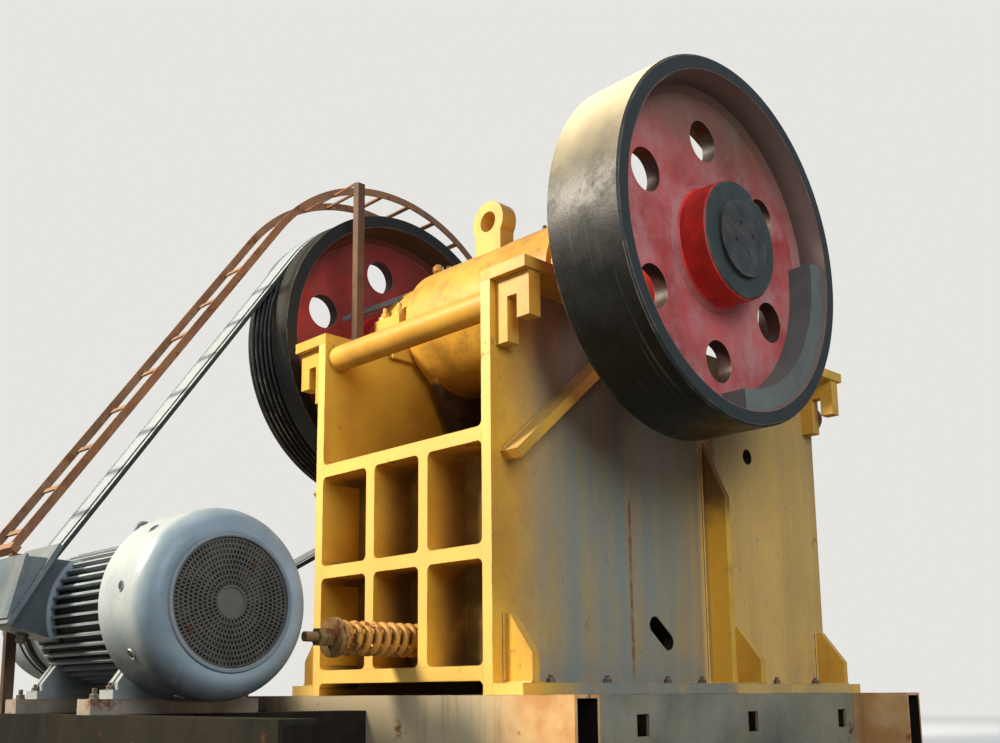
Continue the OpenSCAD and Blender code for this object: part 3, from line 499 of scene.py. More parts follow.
def crossBeamPaint():  # the rear cross beam: faded peach primer on the right, paler painted light towards the middle, the motor's painted shadow dark on the left, painted shade inside the hollow beams
    look = dict(peach="c48d55", cream="dcb682", tan="c2b292", brown="4f4233", dark="332b22", darkTo=-0.72,
                paleFrom=-0.52, creamFrom=0.0, peachFrom=0.45, streak="7b6448", wide=0.125, wall=0.014,
                inside="1f1a15")
    material = newMaterial("crossBeamPaint", specular=0.2)
    split = pointParts()
    along = split["X"] + (noise(4.0, 5.0) - 0.5) * 0.25
    # painted shadow of the motor: dark on the left
    side = ramp(along, look["darkTo"], look["paleFrom"])
    light = mix(ramp(noise(5.0, 6.0), 0.35, 0.65), look["peach"], look["cream"])
    # paler tan and cream towards the middle: painted light
    pale = mix(ramp(along, look["creamFrom"], look["creamFrom"] + 0.3), look["tan"], "e8d4aa")
    light = mix(ramp(along, look["peachFrom"], look["peachFrom"] + 0.35), pale, light)
    # the dark colours of the motor's painted shadow
    paintedMotorShadow = mix(ramp(noise(7.0, 6.0), 0.35, 0.65), look["dark"], look["brown"])
    colour = mix(side, paintedMotorShadow, light)
    runs = runMask(10.0, 0.40, 0.05)
    colour = mix(runs * 0.30, colour, look["streak"])
    rust = effect(rustSpots, Scale=6.0, Cover=0.36)
    colour = mix(rust["Mask"], colour, "8a5e38")
    colour = wornEdges(colour, "6a5238", 0.008, 0.7)
    # painted shade inside the hollow beams: near black within their walls
    lo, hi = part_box("base_cross_beams")
    half = look["wide"] / 2
    rear = abs(split["Y"] - (lo.y + half))
    front = abs(split["Y"] - (hi.y - half))
    level = abs(split["Z"] - (lo.z + hi.z) / 2)
    skinDepth = look["wall"] - 0.002
    within = calc("LESS_THAN", calc("MINIMUM", rear, front), half - skinDepth)
    within *= calc("LESS_THAN", level, (hi.z - lo.z) / 2 - skinDepth)
    colour = mix(within, colour, look["inside"])
    height = paintHeight(50.0, 0.8) + rust["Height"]
    return finishMaterial(material, colour, mixValues(rust["Mask"], 0.62, 0.88), height, 0.4)


def wheelPaint(name, look):  # red web and hub inside a dark rim, split by radius
    material = newMaterial(name, specular=look["shine"])
    split = pointParts()
    normal = facingParts()
    z, radius = roundAxis(split, shaftY, shaftZ)[1:]
    across = abs(split["X"])
    flat = ramp(abs(normal["X"]), 0.5, 0.8)
    rim = ramp(radius, look["rim"] + 0.001, look["rim"] + 0.004)
    hub = ramp(radius, look["hub"] + 0.012, look["hub"] + 0.002)

    red = mix(ramp(noise(3.0, 6.0), 0.3, 0.7), look["deepRed"], look["red"])
    webDust = dustMask(0.5, 0.80, 7.0)
    red = mix(webDust, red, look["dust"])
    upper = ramp(z + noise(5.0, 5.0) * 0.2, 0.25, 0.70) * 0.75
    red = mix(upper, red, look["grime"])
    ringDirt = ramp(radius + noise(6.0) * 0.08, look["rim"] - 0.05, look["rim"] + 0.06, 0.0, 0.7)
    red = mix(ringDirt, red, "4b4038")
    hubTone = mix(ramp(noise(6.0, 5.0), 0.35, 0.65), "b02a21", look["hubRed"])
    red = mix(hub, red, hubTone)
    # painted shade on the walls of the holes in the web
    hole = ramp(radius, look["hub"] + 0.03, look["hub"] + 0.05) * ramp(radius, look["rim"] - 0.04, look["rim"] - 0.06)
    hole *= 1.0 - flat
    red = mix(hole * 0.9, red, "2c2520")
    # the rim's inner wall: grey dust and painted shade, darker towards the web
    wall = ramp(radius, look["rim"] - 0.035, look["rim"] - 0.015) * (1.0 - flat)
    wallTone = mix(ramp(across, look["webX"] + 0.02, look["webX"] + 0.10), "554f44", "7f6f66")
    red = mix(wall * 0.85, red, wallTone)
    hubFace = ramp(across, look["faceX"] - 0.006, look["faceX"] - 0.003) * ramp(radius, 0.30, 0.28)
    faceTone = mix(noise(9.0, 6.0), "202726", "454f4d")
    red = mix(hubFace, red, faceTone)

    scuffs = ramp(noise(1.0, 4.0, 0.6, (70, 1.5, 1.5)), 0.55, 0.75) * ramp(noise(4.0, 6.0), 0.40, 0.65, 0.0, 0.9)
    dark = mix(scuffs, look["rimDark"], look["rimWorn"])
    # dust and a painted sunlit sheen on the tread where it faces up
    lit = normal["Z"] + (noise(4.0, 6.0) - 0.5) * 0.35
    lying = ramp(lit, 0.0, 0.85, 0.0, 0.95) * (1.0 - flat)
    rubbed = ramp(noise(1.0, 5.0, 0.65, (34, 2.0, 2.0)), 0.42, 0.66, 1.0, look["bareTop"])
    lying *= mixValues(ramp(normal["Z"], 0.82, 0.97), 1.0, rubbed)
    dark = mix(lying, dark, look["rimDustAndSheen"])
    dark = mix(flat, dark, look["rimFace"])
    colour = mix(rim, red, dark)
    # worn edges, made light enough to serve also as painted highlight lines
    colour = wornEdges(colour, "a3937e", 0.006, 0.75)
    rough = mixValues(larger(rim * lying, webDust), 0.38, 0.75)
    return finishMaterial(material, colour, rough, paintHeight(90.0, 0.5), 0.3)


def beltRubber():  # grey worn belts, even along their length, with painted shade on their sides and in the innermost gap
    look = dict(worn="a8b2b5", grey="88939a", side="3c3d3b", line="2a2b2a")
    material = newMaterial("beltRubber", specular=0.3)
    lines = noise(160.0, 2.0, 0.5, (1, 0.01, 0.01))
    colour = mix(ramp(lines, 0.35, 0.65), look["grey"], look["worn"])
    colour = mix(ramp(noise(3.0, 4.0), 0.5, 0.75, 0.0, 0.4), colour, "9b9a8e")
    normal = facingParts()
    # painted shade: the belts' sides darkened, fully at the innermost gap
    side = ramp(abs(normal["X"]), 0.4, 0.7)
    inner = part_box("drive_belts")[1][0]
    gap = side * ramp(pointParts()["X"], inner - 0.055, inner - 0.045, 0.25, 1.0)
    colour = mix(gap, colour, look["side"])
    # a dark line along that gap: painted shade
    across = abs(pointParts()["X"] - (inner - 0.0375))
    colour = mix(ramp(across, 0.009, 0.006, 0.0, 0.9), colour, look["line"])
    return finishMaterial(material, colour, mixValues(side, 0.62, 0.85), noise(60.0, 2.0), 0.08)


def wornSteel(name, look):  # bare steel, bright where it is rubbed
    material = newMaterial(name, metallic=0.85)
    bright = ramp(noise(look["scale"], 7.0, 0.65, look["stretch"]), 0.35, 0.65)
    colour = mix(bright, look["dark"], look["bright"])
    rust = rustMask(6.0, look["rust"])
    colour = mix(rust, colour, "6f4526")
    colour = wornEdges(colour, "b5b0a6", 0.006, 0.9)
    setSurface(material, {"Metallic": mixValues(rust, 0.85, 0.1)})
    rough = mixValues(larger(rust, 1.0 - bright), 0.32, 0.7)
    return finishMaterial(material, colour, rough, noise(90.0, 4.0), 0.3)


def gapShadeAndDust():  # painted shade for the dark inside of a grille or an open beam end, with clogged dust
    material = newMaterial("gapShadeAndDust", specular=0.2)
    colour = mix(noise(20.0, 5.0), "15130f", "332d25")
    clogged = ramp(noise(9.0, 8.0, 0.75), 0.44, 0.62, 0.0, 0.9)
    colour = mix(clogged, colour, "57534a")
    return finishMaterial(material, colour, ramp(noise(8.0), 0.3, 0.7, 0.8, 0.95), noise(60.0), 0.3)


shaftY, shaftZ = centreOf("flywheel")
wheelLook = dict(deepRed="963a37", red="c95b58", hubRed="e6342a", dust="b48886", rim=0.672, hub=0.237, faceX=1.182,
                 webX=1.042, grime="5d5344", bareTop=0.35, rimDark="0a0c0a", rimWorn="4b4e4c", rimDustAndSheen="efdfb8",
                 rimFace="2b3132", shine=0.35)
sidePaint = wallPaint()
crossPaint = crossBeamPaint()
rearPaint = pocketPaint()
tallRibPaint = ribPaint()
barrelPaint = pitmanPaint()
finPaint = motorBodyPaint()
drumPaint = cowlPaint()
wheelRed = wheelPaint("wheelRed", wheelLook)
sheaveRed = wheelPaint("sheaveRed", dict(wheelLook, deepRed="82231c", red="b83a30", dust="84433b", grime="6a2019",
                                         rimDustAndSheen="2f2d27", rimFace="1b1f20", rimWorn="2e2e2b"))
beltGrey = beltRubber()
jawSteel = wornSteel("jawSteel", dict(scale=7.0, stretch=(1, 1, 0.4), dark="4c4842", bright="9a948a", rust=0.38))
shaftSteel = wornSteel("shaftSteel", dict(scale=20.0, stretch=(3, 1, 1), dark="55514c", bright="8d8880", rust=0.36))
gapDark = gapShadeAndDust()
hubLook = dict(deep="26282a", bright="3c3f42", dust="7a736a", runScale=9.0, runs=0.3, runStrength=0.2, top=0.6,
               film=0.35, rustScale=9.0, rust=0.3, edge=0.005, wear=0.7, bare="8a867e", gloss=0.45, bump=0.25)
hubBlack = paintedSteel("hubBlack", hubLook)
boltLook = dict(deep="3b3733", bright="5d5852", dust="8d8475", runScale=20.0, runs=0.3, runStrength=0.2, top=0.6,
                film=0.4, rustScale=25.0, rust=0.45, edge=0.003, wear=0.8, bare="8e8a84", gloss=0.4, bump=0.3)
darkBolt = paintedSteel("darkBolt", boltLook)
rustyBolt = paintedSteel("rustyBolt", dict(boltLook, deep="45362a", bright="64523f", rust=0.45, dust="857660"))
grillePaint = paintedSteel("grillePaint", dict(motorLook, deep="403f3c", bright="5f5e59", dust="6f6a5e", film=0.7,
                                               rust=0.36, rustScale=14.0, bare="7c7b76"))
springPaint = paintedSteel("springPaint", dict(frameLook, deep="a9712a", bright="d0953a", dust="93764a", film=0.5,
                                               rust=0.42, rustScale=12.0, runs=0.3))
rodPaint = paintedSteel("rodPaint", dict(frameLook, deep="5c3f22", bright="8f6a38", dust="a58f5e", film=0.6, top=0.7,
                                         rust=0.46, rustScale=14.0, bare="3c2c1c"))
weightGrey = paintedSteel("weightGrey", dict(motorLook, deep="4b5250", bright="68726f", dust="77766c", film=0.55,
                                             top=0.4, rust=0.24, gloss=0.6, bare="8c8a80"))
beamLook = dict(deep="55493c", bright="7a6a55", dust="a9977c", runScale=6.0, runs=0.42, runStrength=0.4, top=0.8,
                film=0.35, rustScale=4.0, rust=0.42, edge=0.008, wear=0.7, bare="43352a", gloss=0.6, bump=0.5,
                shine=0.12)
# near-black brown for the platform and bearers: dark paint with painted shade from the motor
brownBeamShaded = paintedSteel("brownBeamShaded", dict(beamLook, deep="15130f", bright="26231c", dust="39352b", top=0.4, film=0.3,
                                           rust=0.34))
guardRust = paintedSteel("guardRust", dict(rustLook, deep="5a3824", bright="96603c", dust="a88a68", film=0.4,
                                           rust=0.40))
postRust = paintedSteel("postRust", dict(rustLook, deep="38261a", bright="5f3f29", dust="7d6850", film=0.35,
                                         rust=0.40))
paleRail = paintedSteel("paleRail", dict(beamLook, deep="7d7468", bright="a0968a", dust="b9ae9b", film=0.6))
print("materials made")

nodeMaterials = {
    tallRibPaint: ["side_ribs"],
    framePaint: ["foot_gussets", "corner_brackets", "tie_tube", "front_wall", "front_rails",
                 "bearing_base_left", "bearing_base_right", "bearing_cap_left", "bearing_cap_right", "lifting_lug",
                 "tension_spring", "toggle_seat"],
    rearPaint: ["rear_rails", "rear_ribs", "rear_plate"],
    barrelPaint: ["pitman"],
    sidePaint: ["side_plate_left", "side_plate_right", "foot_flanges"],
    wheelRed: ["flywheel"],
    sheaveRed: ["sheave"],
    hubBlack: ["hub_plates", "motor_pulley"],
    weightGrey: ["counterweights"],
    jawSteel: ["fixed_jaw_plate", "swing_jaw_plate", "cheek_plates"],
    shaftSteel: ["eccentric_shaft", "toggle_plate", "motor_shaft", "hitch_rings"],
    rodPaint: ["tension_rod"],
    beltGrey: ["drive_belts"],
    finPaint: ["motor_body"],
    drumPaint: ["fan_cowl"],
    boxShadedPaint: ["terminal_box"],
    baseSteel: ["base_side_beams"],
    paleRail: ["motor_rails"],
    crossPaint: ["base_cross_beams"],
    brownBeamShaded: ["motor_platform", "motor_bearers"],
    guardRust: ["guard_bars", "guard_arcs"],
    postRust: ["guard_posts"],
}
for material, names in nodeMaterials.items():
    for name in names:
        nodes[name].data.materials.clear()
        nodes[name].data.materials.append(material)


# Softened edges on the CAD solids

def softenEdges(names, width):
    for name in names:
        node = nodes[name]
        clean = node.modifiers.new("joinFlats", "DECIMATE")
        clean.decimate_type = "DISSOLVE"
        clean.angle_limit = radians(0.5)
        edge = node.modifiers.new("softEdge", "BEVEL")
        edge.width = width
        edge.segments = 2
        edge.limit_method = "ANGLE"
        edge.angle_limit = radians(40)
        edge.harden_normals = False


softenEdges(["side_plate_left", "side_plate_right", "foot_flanges", "foot_gussets", "side_ribs", "corner_brackets",
             "rear_rails", "rear_ribs", "base_cross_beams", "base_side_beams", "motor_platform", "motor_bearers",
             "motor_rails", "front_rails"], 0.0035)
softenEdges(["terminal_box", "lifting_lug", "toggle_seat", "hitch_rings"], 0.003)
print("edges softened")


# Mesh helpers

def addPiece(name, bm, material, body="root", crease=35):
    mesh = bpy.data.meshes.new(name)
    bmesh.ops.recalc_face_normals(bm, faces=bm.faces)
    bm.to_mesh(mesh)
    bm.free()
    mesh.shade_smooth()
    mesh.set_sharp_from_angle(angle=radians(crease))
    mesh.materials.append(material)
    piece = bpy.data.objects.new(name, mesh)
    scene.collection.objects.link(piece)
    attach(piece, body)
    return piece


def skin(bm, rings, closed=False):  # quads from each ring of points to the next; an open row gets a cap at each end
    for near, far in zip(rings, rings[1:] + rings[:1] if closed else rings[1:]):
        for k in range(len(near)):
            m = (k + 1) % len(near)
            bm.faces.new((near[k], near[m], far[m], far[k]))
    if not closed:
        bm.faces.new(rings[0][::-1])
        bm.faces.new(rings[-1])


def aroundAxis(base, axis):  # a function from radius, angle and height to the point
    turn = Vector(axis).normalized().to_track_quat("Z", "Y")
    return lambda radius, a, height: Vector(base) + turn @ Vector((radius * cos(a), radius * sin(a), height))


def turned(bm, profile, base, axis, steps=20, start=0.0):  # a closed turned form from (radius, height) points
    spot = aroundAxis(base, axis)
    angles = [start + tau * i / steps for i in range(steps)]
    skin(bm, [[bm.verts.new(spot(radius, a, height)) for a in angles] for radius, height in profile])


def ringForm(bm, loop, base, axis, steps=96):  # a ring whose section is a closed loop of (radius, height) points
    spot = aroundAxis(base, axis)
    angles = [tau * i / steps for i in range(steps)]
    skin(bm, [[bm.verts.new(spot(radius, a, height)) for radius, height in loop] for a in angles], closed=True)


def swept(bm, points, radii, sides=10):  # a round bar along points, with a radius at each
    points = [Vector(p) for p in points]
    if isinstance(radii, float):
        radii = [radii] * len(points)
    ahead = (points[1] - points[0]).normalized()
    across = ahead.orthogonal().normalized()
    rings = []
    for i, point in enumerate(points):
        after, before = points[min(i + 1, len(points) - 1)], points[max(i - 1, 0)]
        new = (after - before).normalized()
        across = (ahead.rotation_difference(new) @ across).normalized()
        ahead = new
        up = ahead.cross(across)
        angles = [tau * k / sides for k in range(sides)]
        rings.append([bm.verts.new(point + radii[i] * (cos(a) * across + sin(a) * up)) for a in angles])
    skin(bm, rings)


def hexBolt(bm, base, axis, size, stud=0.0, start=0.0):  # washer and chamfered hexagon, with a stud where it is a nut
    axis = Vector(axis).normalized()
    base = Vector(base)
    turned(bm, [(size * 1.12, -0.001), (size * 1.12, size * 0.14), (size * 1.06, size * 0.2)], base, axis, 20)
    height = size * 0.85
    top = base + axis * (size * 0.2)
    turned(bm, [(size, 0), (size, height * 0.86), (size * 0.88, height)], top, axis, 6, start)
    if stud:
        turned(bm, [(size * 0.52, 0), (size * 0.52, stud - size * 0.1), (size * 0.42, stud)], top + axis * height
               * 0.9, axis, 12)


def fromCentre(y, z, radius, angle):  # a point's Y and Z at an angle in degrees round an X axis
    a = radians(angle)
    return y + radius * cos(a), z + radius * sin(a)


# Fasteners

def makeCapBolts():  # four studs and nuts on each bearing cap, and screws round its end cover
    look = dict(across=(0.055, 0.296), top=0.078, size=0.021, stud=0.03, coverRadius=0.180, screw=0.011, screws=8,
                coverX=0.713, middle=0.5825)
    bm = bmesh.new()
    for side in (-1, 1):
        for dx in (-1, 1):
            for dy in (-1, 1):
                x, y = side * look["middle"] + dx * look["across"][0], shaftY + dy * look["across"][1]
                spot = (x, y, shaftZ + look["top"])
                hexBolt(bm, spot, (0, 0, 1), look["size"], look["stud"], 0.2 * dx + 0.3 * dy)
        for i in range(look["screws"]):
            y, z = fromCentre(shaftY, shaftZ, look["coverRadius"], 22 + 360 * i / look["screws"])
            hexBolt(bm, (side * look["coverX"], y, z), (side, 0, 0), look["screw"], 0.0, i * 0.4)
    addPiece("capBolts", bm, framePaint)


def makeFootBolts():  # holding-down studs on the flanges
    look = dict(size=0.017, stud=0.014, places=(-0.34, -0.02, 0.36, 0.60, 1.18, 1.52), fromPlate=0.085)
    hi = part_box("foot_flanges")[1]
    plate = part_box("side_plate_right")[1]
    bm = bmesh.new()
    for side in (-1, 1):
        for i, y in enumerate(look["places"]):
            spot = (side * (plate[0] + look["fromPlate"]), y, hi[2])
            hexBolt(bm, spot, (0, 0, 1), look["size"], look["stud"], 0.5 * i)
    addPiece("footBolts", bm, rustyBolt)


def makeHubBolts():  # socket screws in the end plates of the shaft
    look = dict(circle=0.062, size=0.0105, angles=(20, 110, 200, 290), outer=1.198)
    bm = bmesh.new()
    for side in (-1, 1):
        for angle in look["angles"]:
            y, z = fromCentre(shaftY, shaftZ, look["circle"], angle)
            turned(bm, [(look["size"], 0), (look["size"], 0.0095), (look["size"] * 0.85, 0.011)],
                   (side * (look["outer"] - 0.0155), y, z), (side, 0, 0), 20)
    addPiece("hubBolts", bm, darkBolt, "shaft")


def makeMotorBolts():  # foot bolts, rail bolts and the screws of the end shield
    look = dict(foot=0.013, footY=0.242, footHigh=0.030, footStud=0.012, rail=0.016, railStud=0.02, inset=0.05,
                rearInset=0.035, frontInset=0.030, shield=0.011, shieldRadius=0.222, shieldX=0.022, screws=6)
    motorY, motorZ = centreOf("motor_shaft")
    lo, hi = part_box("motor_rails")
    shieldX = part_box("motor_body")[0].x + look["shieldX"]
    bm = bmesh.new()
    for x in (lo.x + look["inset"], hi.x - look["inset"]):
        for dy in (-look["footY"], look["footY"]):
            hexBolt(bm, (x, motorY + dy, hi.z + look["footHigh"]), (0, 0, 1), look["foot"], look["footStud"], x)
        for y in (lo.y + look["rearInset"], hi.y - look["frontInset"]):
            hexBolt(bm, (x, y, hi.z), (0, 0, 1), look["rail"], look["railStud"], y)
    for i in range(look["screws"]):
        y, z = fromCentre(motorY, motorZ, look["shieldRadius"], 30 + 360 * i / look["screws"])
        hexBolt(bm, (shieldX, y, z), (-1, 0, 0), look["shield"], 0.0, i * 0.3)
    addPiece("motorBolts", bm, darkBolt)


def makeCowlScrews():  # screws round the cowl, each in a raised rim
    look = dict(size=0.015, lip=0.006, screws=9, first=12, x=0.155)
    lo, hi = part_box("fan_cowl")
    motorY, motorZ = centreOf("motor_shaft")
    size = look["size"]
    screws, rims = bmesh.new(), bmesh.new()
    for i in range(look["screws"]):
        y, z = fromCentre(motorY, motorZ, (hi.z - lo.z) / 2 - 0.001, look["first"] + 360 * i / look["screws"])
        spot, out = (lo.x + look["x"], y, z), (0, y - motorY, z - motorZ)
        turned(screws, [(size, 0), (size, 0.0025), (size * 0.7, 0.004)], spot, out, 18)
        rim = [(size, -0.002), (size, 0.004), (size + look["lip"] / 2, 0.005), (size + look["lip"], -0.002)]
        ringForm(rims, rim, spot, out, 28)
    addPiece("cowlScrews", screws, gapDark)
    addPiece("cowlScrewRims", rims, drumPaint)


def makeMotorEye():  # lifting eye on the motor's housing
    look = dict(radius=0.030, wire=0.0085, x=-0.47, neck=0.018, steps=40)
    motorY, top = centreOf("motor_shaft")[0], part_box("motor_body")[1].z
    bm = bmesh.new()
    foot = [(0.024, -0.004), (0.024, 0.004), (0.014, 0.010), (0.012, 0.020)]
    turned(bm, foot, (look["x"], motorY, top), (0, 0, 1), 20)
    middle = top + look["neck"] + look["radius"]
    ring = [fromCentre(middle, motorY, look["radius"], 360 * i / look["steps"]) for i in range(look["steps"] + 1)]
    swept(bm, [(look["x"], y, z) for z, y in ring], look["wire"], 12)
    addPiece("motorEye", bm, motorPaint)


def makeJawBolts():  # nuts of the bolts that clamp the fixed jaw plate, on the front wall
    look = dict(size=0.026, stud=0.05, columns=(-0.27, 0.27), rows=(0.585, 1.035, 1.485))
    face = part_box("front_wall")[1][1]
    bm = bmesh.new()
    for x in look["columns"]:
        for z in look["rows"]:
            hexBolt(bm, (x, face, z), (0, 1, 0), look["size"], look["stud"], x + z)
    addPiece("jawBolts", bm, rustyBolt)


# Motor details

def makeGrille():  # pressed steel grille in the cowl's recess, over a dark disc of painted shade
    look = dict(radius=0.2185, first=0.056, step=0.01744, rings=10, ringHalf=0.0024, boss=0.054, disc=0.048,
                barsFirst=32, barsMore=8, barHalf=0.0019, back=0.0115, front=0.0045, thick=0.003, lipIn=0.2185,
                lipOut=0.236)
    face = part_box("fan_cowl")[1].x
    motorY, motorZ = centreOf("fan_cowl")
    middle, axis = Vector((face, motorY, motorZ)), Vector((1, 0, 0))
    bm = bmesh.new()
    # a dark disc behind the grille: painted shade in the recess
    turned(bm, [(look["radius"], 0), (look["radius"], 0.001)], middle - axis * look["back"], axis, 96)
    addPiece("grilleGap", bm, gapDark)
    bm = bmesh.new()
    near, far = -look["front"], -look["front"] - look["thick"]
    circles = [look["first"] + look["step"] * i for i in range(look["rings"])]
    for r in circles:
        inner, outer = r - look["ringHalf"], r + look["ringHalf"]
        ringForm(bm, [(inner, far), (outer, far), (outer, near), (inner, near)], middle, axis)
    disc, boss = look["disc"], look["boss"]
    turned(bm, [(disc, far), (disc, near - 0.001)], middle, axis, 48)
    ringForm(bm, [(disc, far), (boss, far), (boss, near + 0.003), (boss - 0.004, near + 0.003)], middle, axis, 64)
    for k, (inner, outer) in enumerate(zip(circles, circles[1:])):
        count = look["barsFirst"] + look["barsMore"] * k
        for i in range(count):
            a = tau * (i + 0.5 * (k % 2)) / count
            ahead, side = Vector((0, cos(a), sin(a))), Vector((0, -sin(a), cos(a))) * look["barHalf"]
            corners = [middle + ahead * r + side * w for r, w in ((inner, -1), (outer, -1), (outer, 1), (inner, 1))]
            skin(bm, [[bm.verts.new(corner + axis * depth) for corner in corners] for depth in (far, near)])
    addPiece("cowlGrille", bm, grillePaint)
    bm = bmesh.new()
    low, high = look["lipIn"], look["lipOut"]
    lip = [(low, -0.011), (low, 0.004), (low + 0.004, 0.008), (high - 0.005, 0.008), (high, 0.0), (high, -0.004)]
    ringForm(bm, lip, middle, axis, 128)
    addPiece("grilleLip", bm, motorPaint)


def makeCableGland():  # gland in the underside of the terminal box's neck
    look = dict(x=-0.73, under=(-0.330, -0.0756), axis=(0, -0.256, -0.967), size=0.024)
    motorY, motorZ = centreOf("motor_shaft")
    bm = bmesh.new()
    spot = (look["x"], motorY + look["under"][0], motorZ + look["under"][1])
    turned(bm, [(look["size"], -0.002), (look["size"], 0.014)], spot, look["axis"], 6)
    turned(bm, [(0.018, 0.0), (0.018, 0.03), (0.014, 0.038), (0.010, 0.038)], spot, look["axis"], 24)
    addPiece("cableGland", bm, darkBolt)


# Toggle spring

def makeSpring():  # the real coil, with closed ends
    look = dict(turns=11.5, coil=0.055, wire=0.0132, steps=44, closed=0.9)
    lo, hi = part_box("tension_spring")
    middle = (lo[2] + hi[2]) / 2
    first, last = lo[1] + look["wire"], hi[1] - look["wire"]
    closed, turns = look["closed"], look["turns"]
    points = []
    for i in range(int(turns * look["steps"]) + 1):
        t = i / look["steps"]
        tight = 2 * look["wire"]
        if t < closed:
            y = first + tight * t * t / (2 * closed)
        elif t > turns - closed:
            y = last - tight * (turns - t) ** 2 / (2 * closed)
        else:
            y = first + tight * closed / 2 + (last - first - tight * closed) * (t - closed) / (turns - 2 * closed)
        a = tau * t
        points.append((look["coil"] * cos(a), y, middle + look["coil"] * sin(a)))
    bm = bmesh.new()
    swept(bm, points, look["wire"], 14)
    coil = addPiece("springCoil", bm, springPaint, crease=60)
    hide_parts("tension_spring")


# Belts

def makeBeltBand():  # the tie band that joins the outer four belts at their tops
    look = dict(pitch=0.037, inward=0.001, outward=0.0014, steps=60)
    lo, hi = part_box("drive_belts")
    pulleyY, pulleyZ = centreOf("motor_shaft")
    large, small = hi[2] - shaftZ, pulleyZ - lo[2]
    span = hypot(pulleyY - shaftY, pulleyZ - shaftZ)
    ahead = atan2(pulleyZ - shaftZ, pulleyY - shaftY)
    wrap = acos((large - small) / span)
    path = []
    for centreY, centreZ, radius, first, sweep in ((shaftY, shaftZ, large, ahead + wrap, tau - 2 * wrap),
                                                   (pulleyY, pulleyZ, small, ahead - wrap, 2 * wrap)):
        path += [(centreY, centreZ, radius, first + sweep * i / look["steps"]) for i in range(look["steps"] + 1)]
    left, right = lo[0] + 0.001, hi[0] - look["pitch"] - 0.001
    bm = bmesh.new()
    inward, outward = look["inward"], look["outward"]
    corners = ((left, -inward), (right, -inward), (right, outward), (left, outward))
    rings = []
    for y, z, radius, a in path:
        rings.append([bm.verts.new((x, y + (radius + r) * cos(a), z + (radius + r) * sin(a))) for x, r in corners])
    skin(bm, rings, closed=True)
    addPiece("beltBand", bm, beltGrey)


# Welds

def beadLine(bm, start, end, size, seed):  # an uneven weld bead along a line
    draw = random.Random(seed)
    start, end = Vector(start), Vector(end)
    count = max(4, int((end - start).length / 0.009))
    points, radii = [], []
    for i in range(count + 1):
        points.append(start.lerp(end, i / count))
        radii.append(size * (0.8 + 0.22 * abs(sin(i * 1.35)) + draw.uniform(-0.08, 0.08)))
    swept(bm, points, radii, 7)


def makeWelds():  # beads along the ribs, the gussets, the flanges and the slanting braces
    look = dict(size=0.0075, half=0.018, rib=(0.58, 1.078, 0.118), gusset=(0.25, 0.142), gussets=(0.075, 1.53, -0.06),
                braceFrom=(0.075, 0.848), braceTurn=40.5, braceHalf=0.02, braceLong=0.70)
    (outer, frontY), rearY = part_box("side_plate_right")[1].xy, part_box("side_plate_right")[0].y
    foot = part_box("foot_flanges")[1].z
    share, ribHigh, ribWide = look["rib"]
    ribY = rearY + share * (frontY - rearY)
    stands = [(ribY, ribHigh, ribWide)]
    stands += [((frontY if y < 0 else rearY) + y,) + look["gusset"] for y in look["gussets"]]
    bm = bmesh.new()
    seed = 1
    for side in (-1, 1):
        lines = []
        for middle, high, wide in stands:
            for y in (middle - look["half"], middle + look["half"]):
                lines.append(((side * outer, y, foot), (side * outer, y, foot + high)))
                lines.append(((side * outer, y, foot), (side * (outer + wide), y, foot)))
        for first, last in ((rearY + 0.1, ribY - 0.03), (ribY + 0.03, frontY - 0.09)):
            lines.append(((side * outer, first, foot), (side * outer, last, foot)))
        turn = radians(look["braceTurn"])
        ahead = Vector((0, cos(turn), sin(turn)))
        low = Vector((side * outer, rearY + look["braceFrom"][0], foot + look["braceFrom"][1]))
        lift = Vector((0, -ahead.z, ahead.y)) * look["braceHalf"]
        for shift in (lift, -lift):
            lines.append((low + shift, low + shift + ahead * look["braceLong"]))
        for start, end in lines:
            beadLine(bm, start, end, look["size"], seed)
            seed += 1
    addPiece("frameWelds", bm, sidePaint, crease=80)


def makeTubeWelds():  # beads round the tie tube's ends
    look = {"size": 0.0065, "steps": 64}
    lo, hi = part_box("tie_tube")
    bm = bmesh.new()
    for side in (-1, 1):
        ring = [fromCentre(*centreOf("tie_tube"), (hi.z - lo.z) / 2, 360 * i / look["steps"])
                for i in range(look["steps"] + 1)]
        radii = [look["size"] * (0.9 + 0.2 * abs(sin(1.7 * i))) for i in range(look["steps"] + 1)]
        swept(bm, [(side * (hi.x - 0.002), y, z) for y, z in ring], radii, 7)
    addPiece("tubeWelds", bm, framePaint, crease=80)


# Small parts on the barrel and the guard

def makeBarrelPlugs():  # grease plugs
    look = {"radius": 0.310, "plugs": ((0.30, 118), (-0.36, 112), (-0.30, 98))}
    middleY, middleZ = barrelAxis()
    bm = bmesh.new()
    for x, angle in look["plugs"]:
        y, z = fromCentre(middleY, middleZ, look["radius"] - 0.001, angle)
        out = (0, y - middleY, z - middleZ)
        turned(bm, [(0.013, 0), (0.013, 0.004)], (x, y, z), out, 16)
        turned(bm, [(0.009, 0.003), (0.009, 0.012), (0.007, 0.014)], (x, y, z), out, 6)
    addPiece("barrelPlugs", bm, darkBolt, "pitman")


def flatBar(bm, start, end, wide, thick):  # a flat bar with its broad side upright
    start, end = Vector(start), Vector(end)
    ahead = (end - start).normalized()
    across = ahead.cross(Vector((0, 0, 1))).normalized() * thick / 2
    up = across.cross(ahead).normalized() * wide / 2
    corners = ((-1, -1), (1, -1), (1, 1), (-1, 1))
    skin(bm, [[bm.verts.new(spot + a * across + b * up) for a, b in corners] for spot in (start, end)])


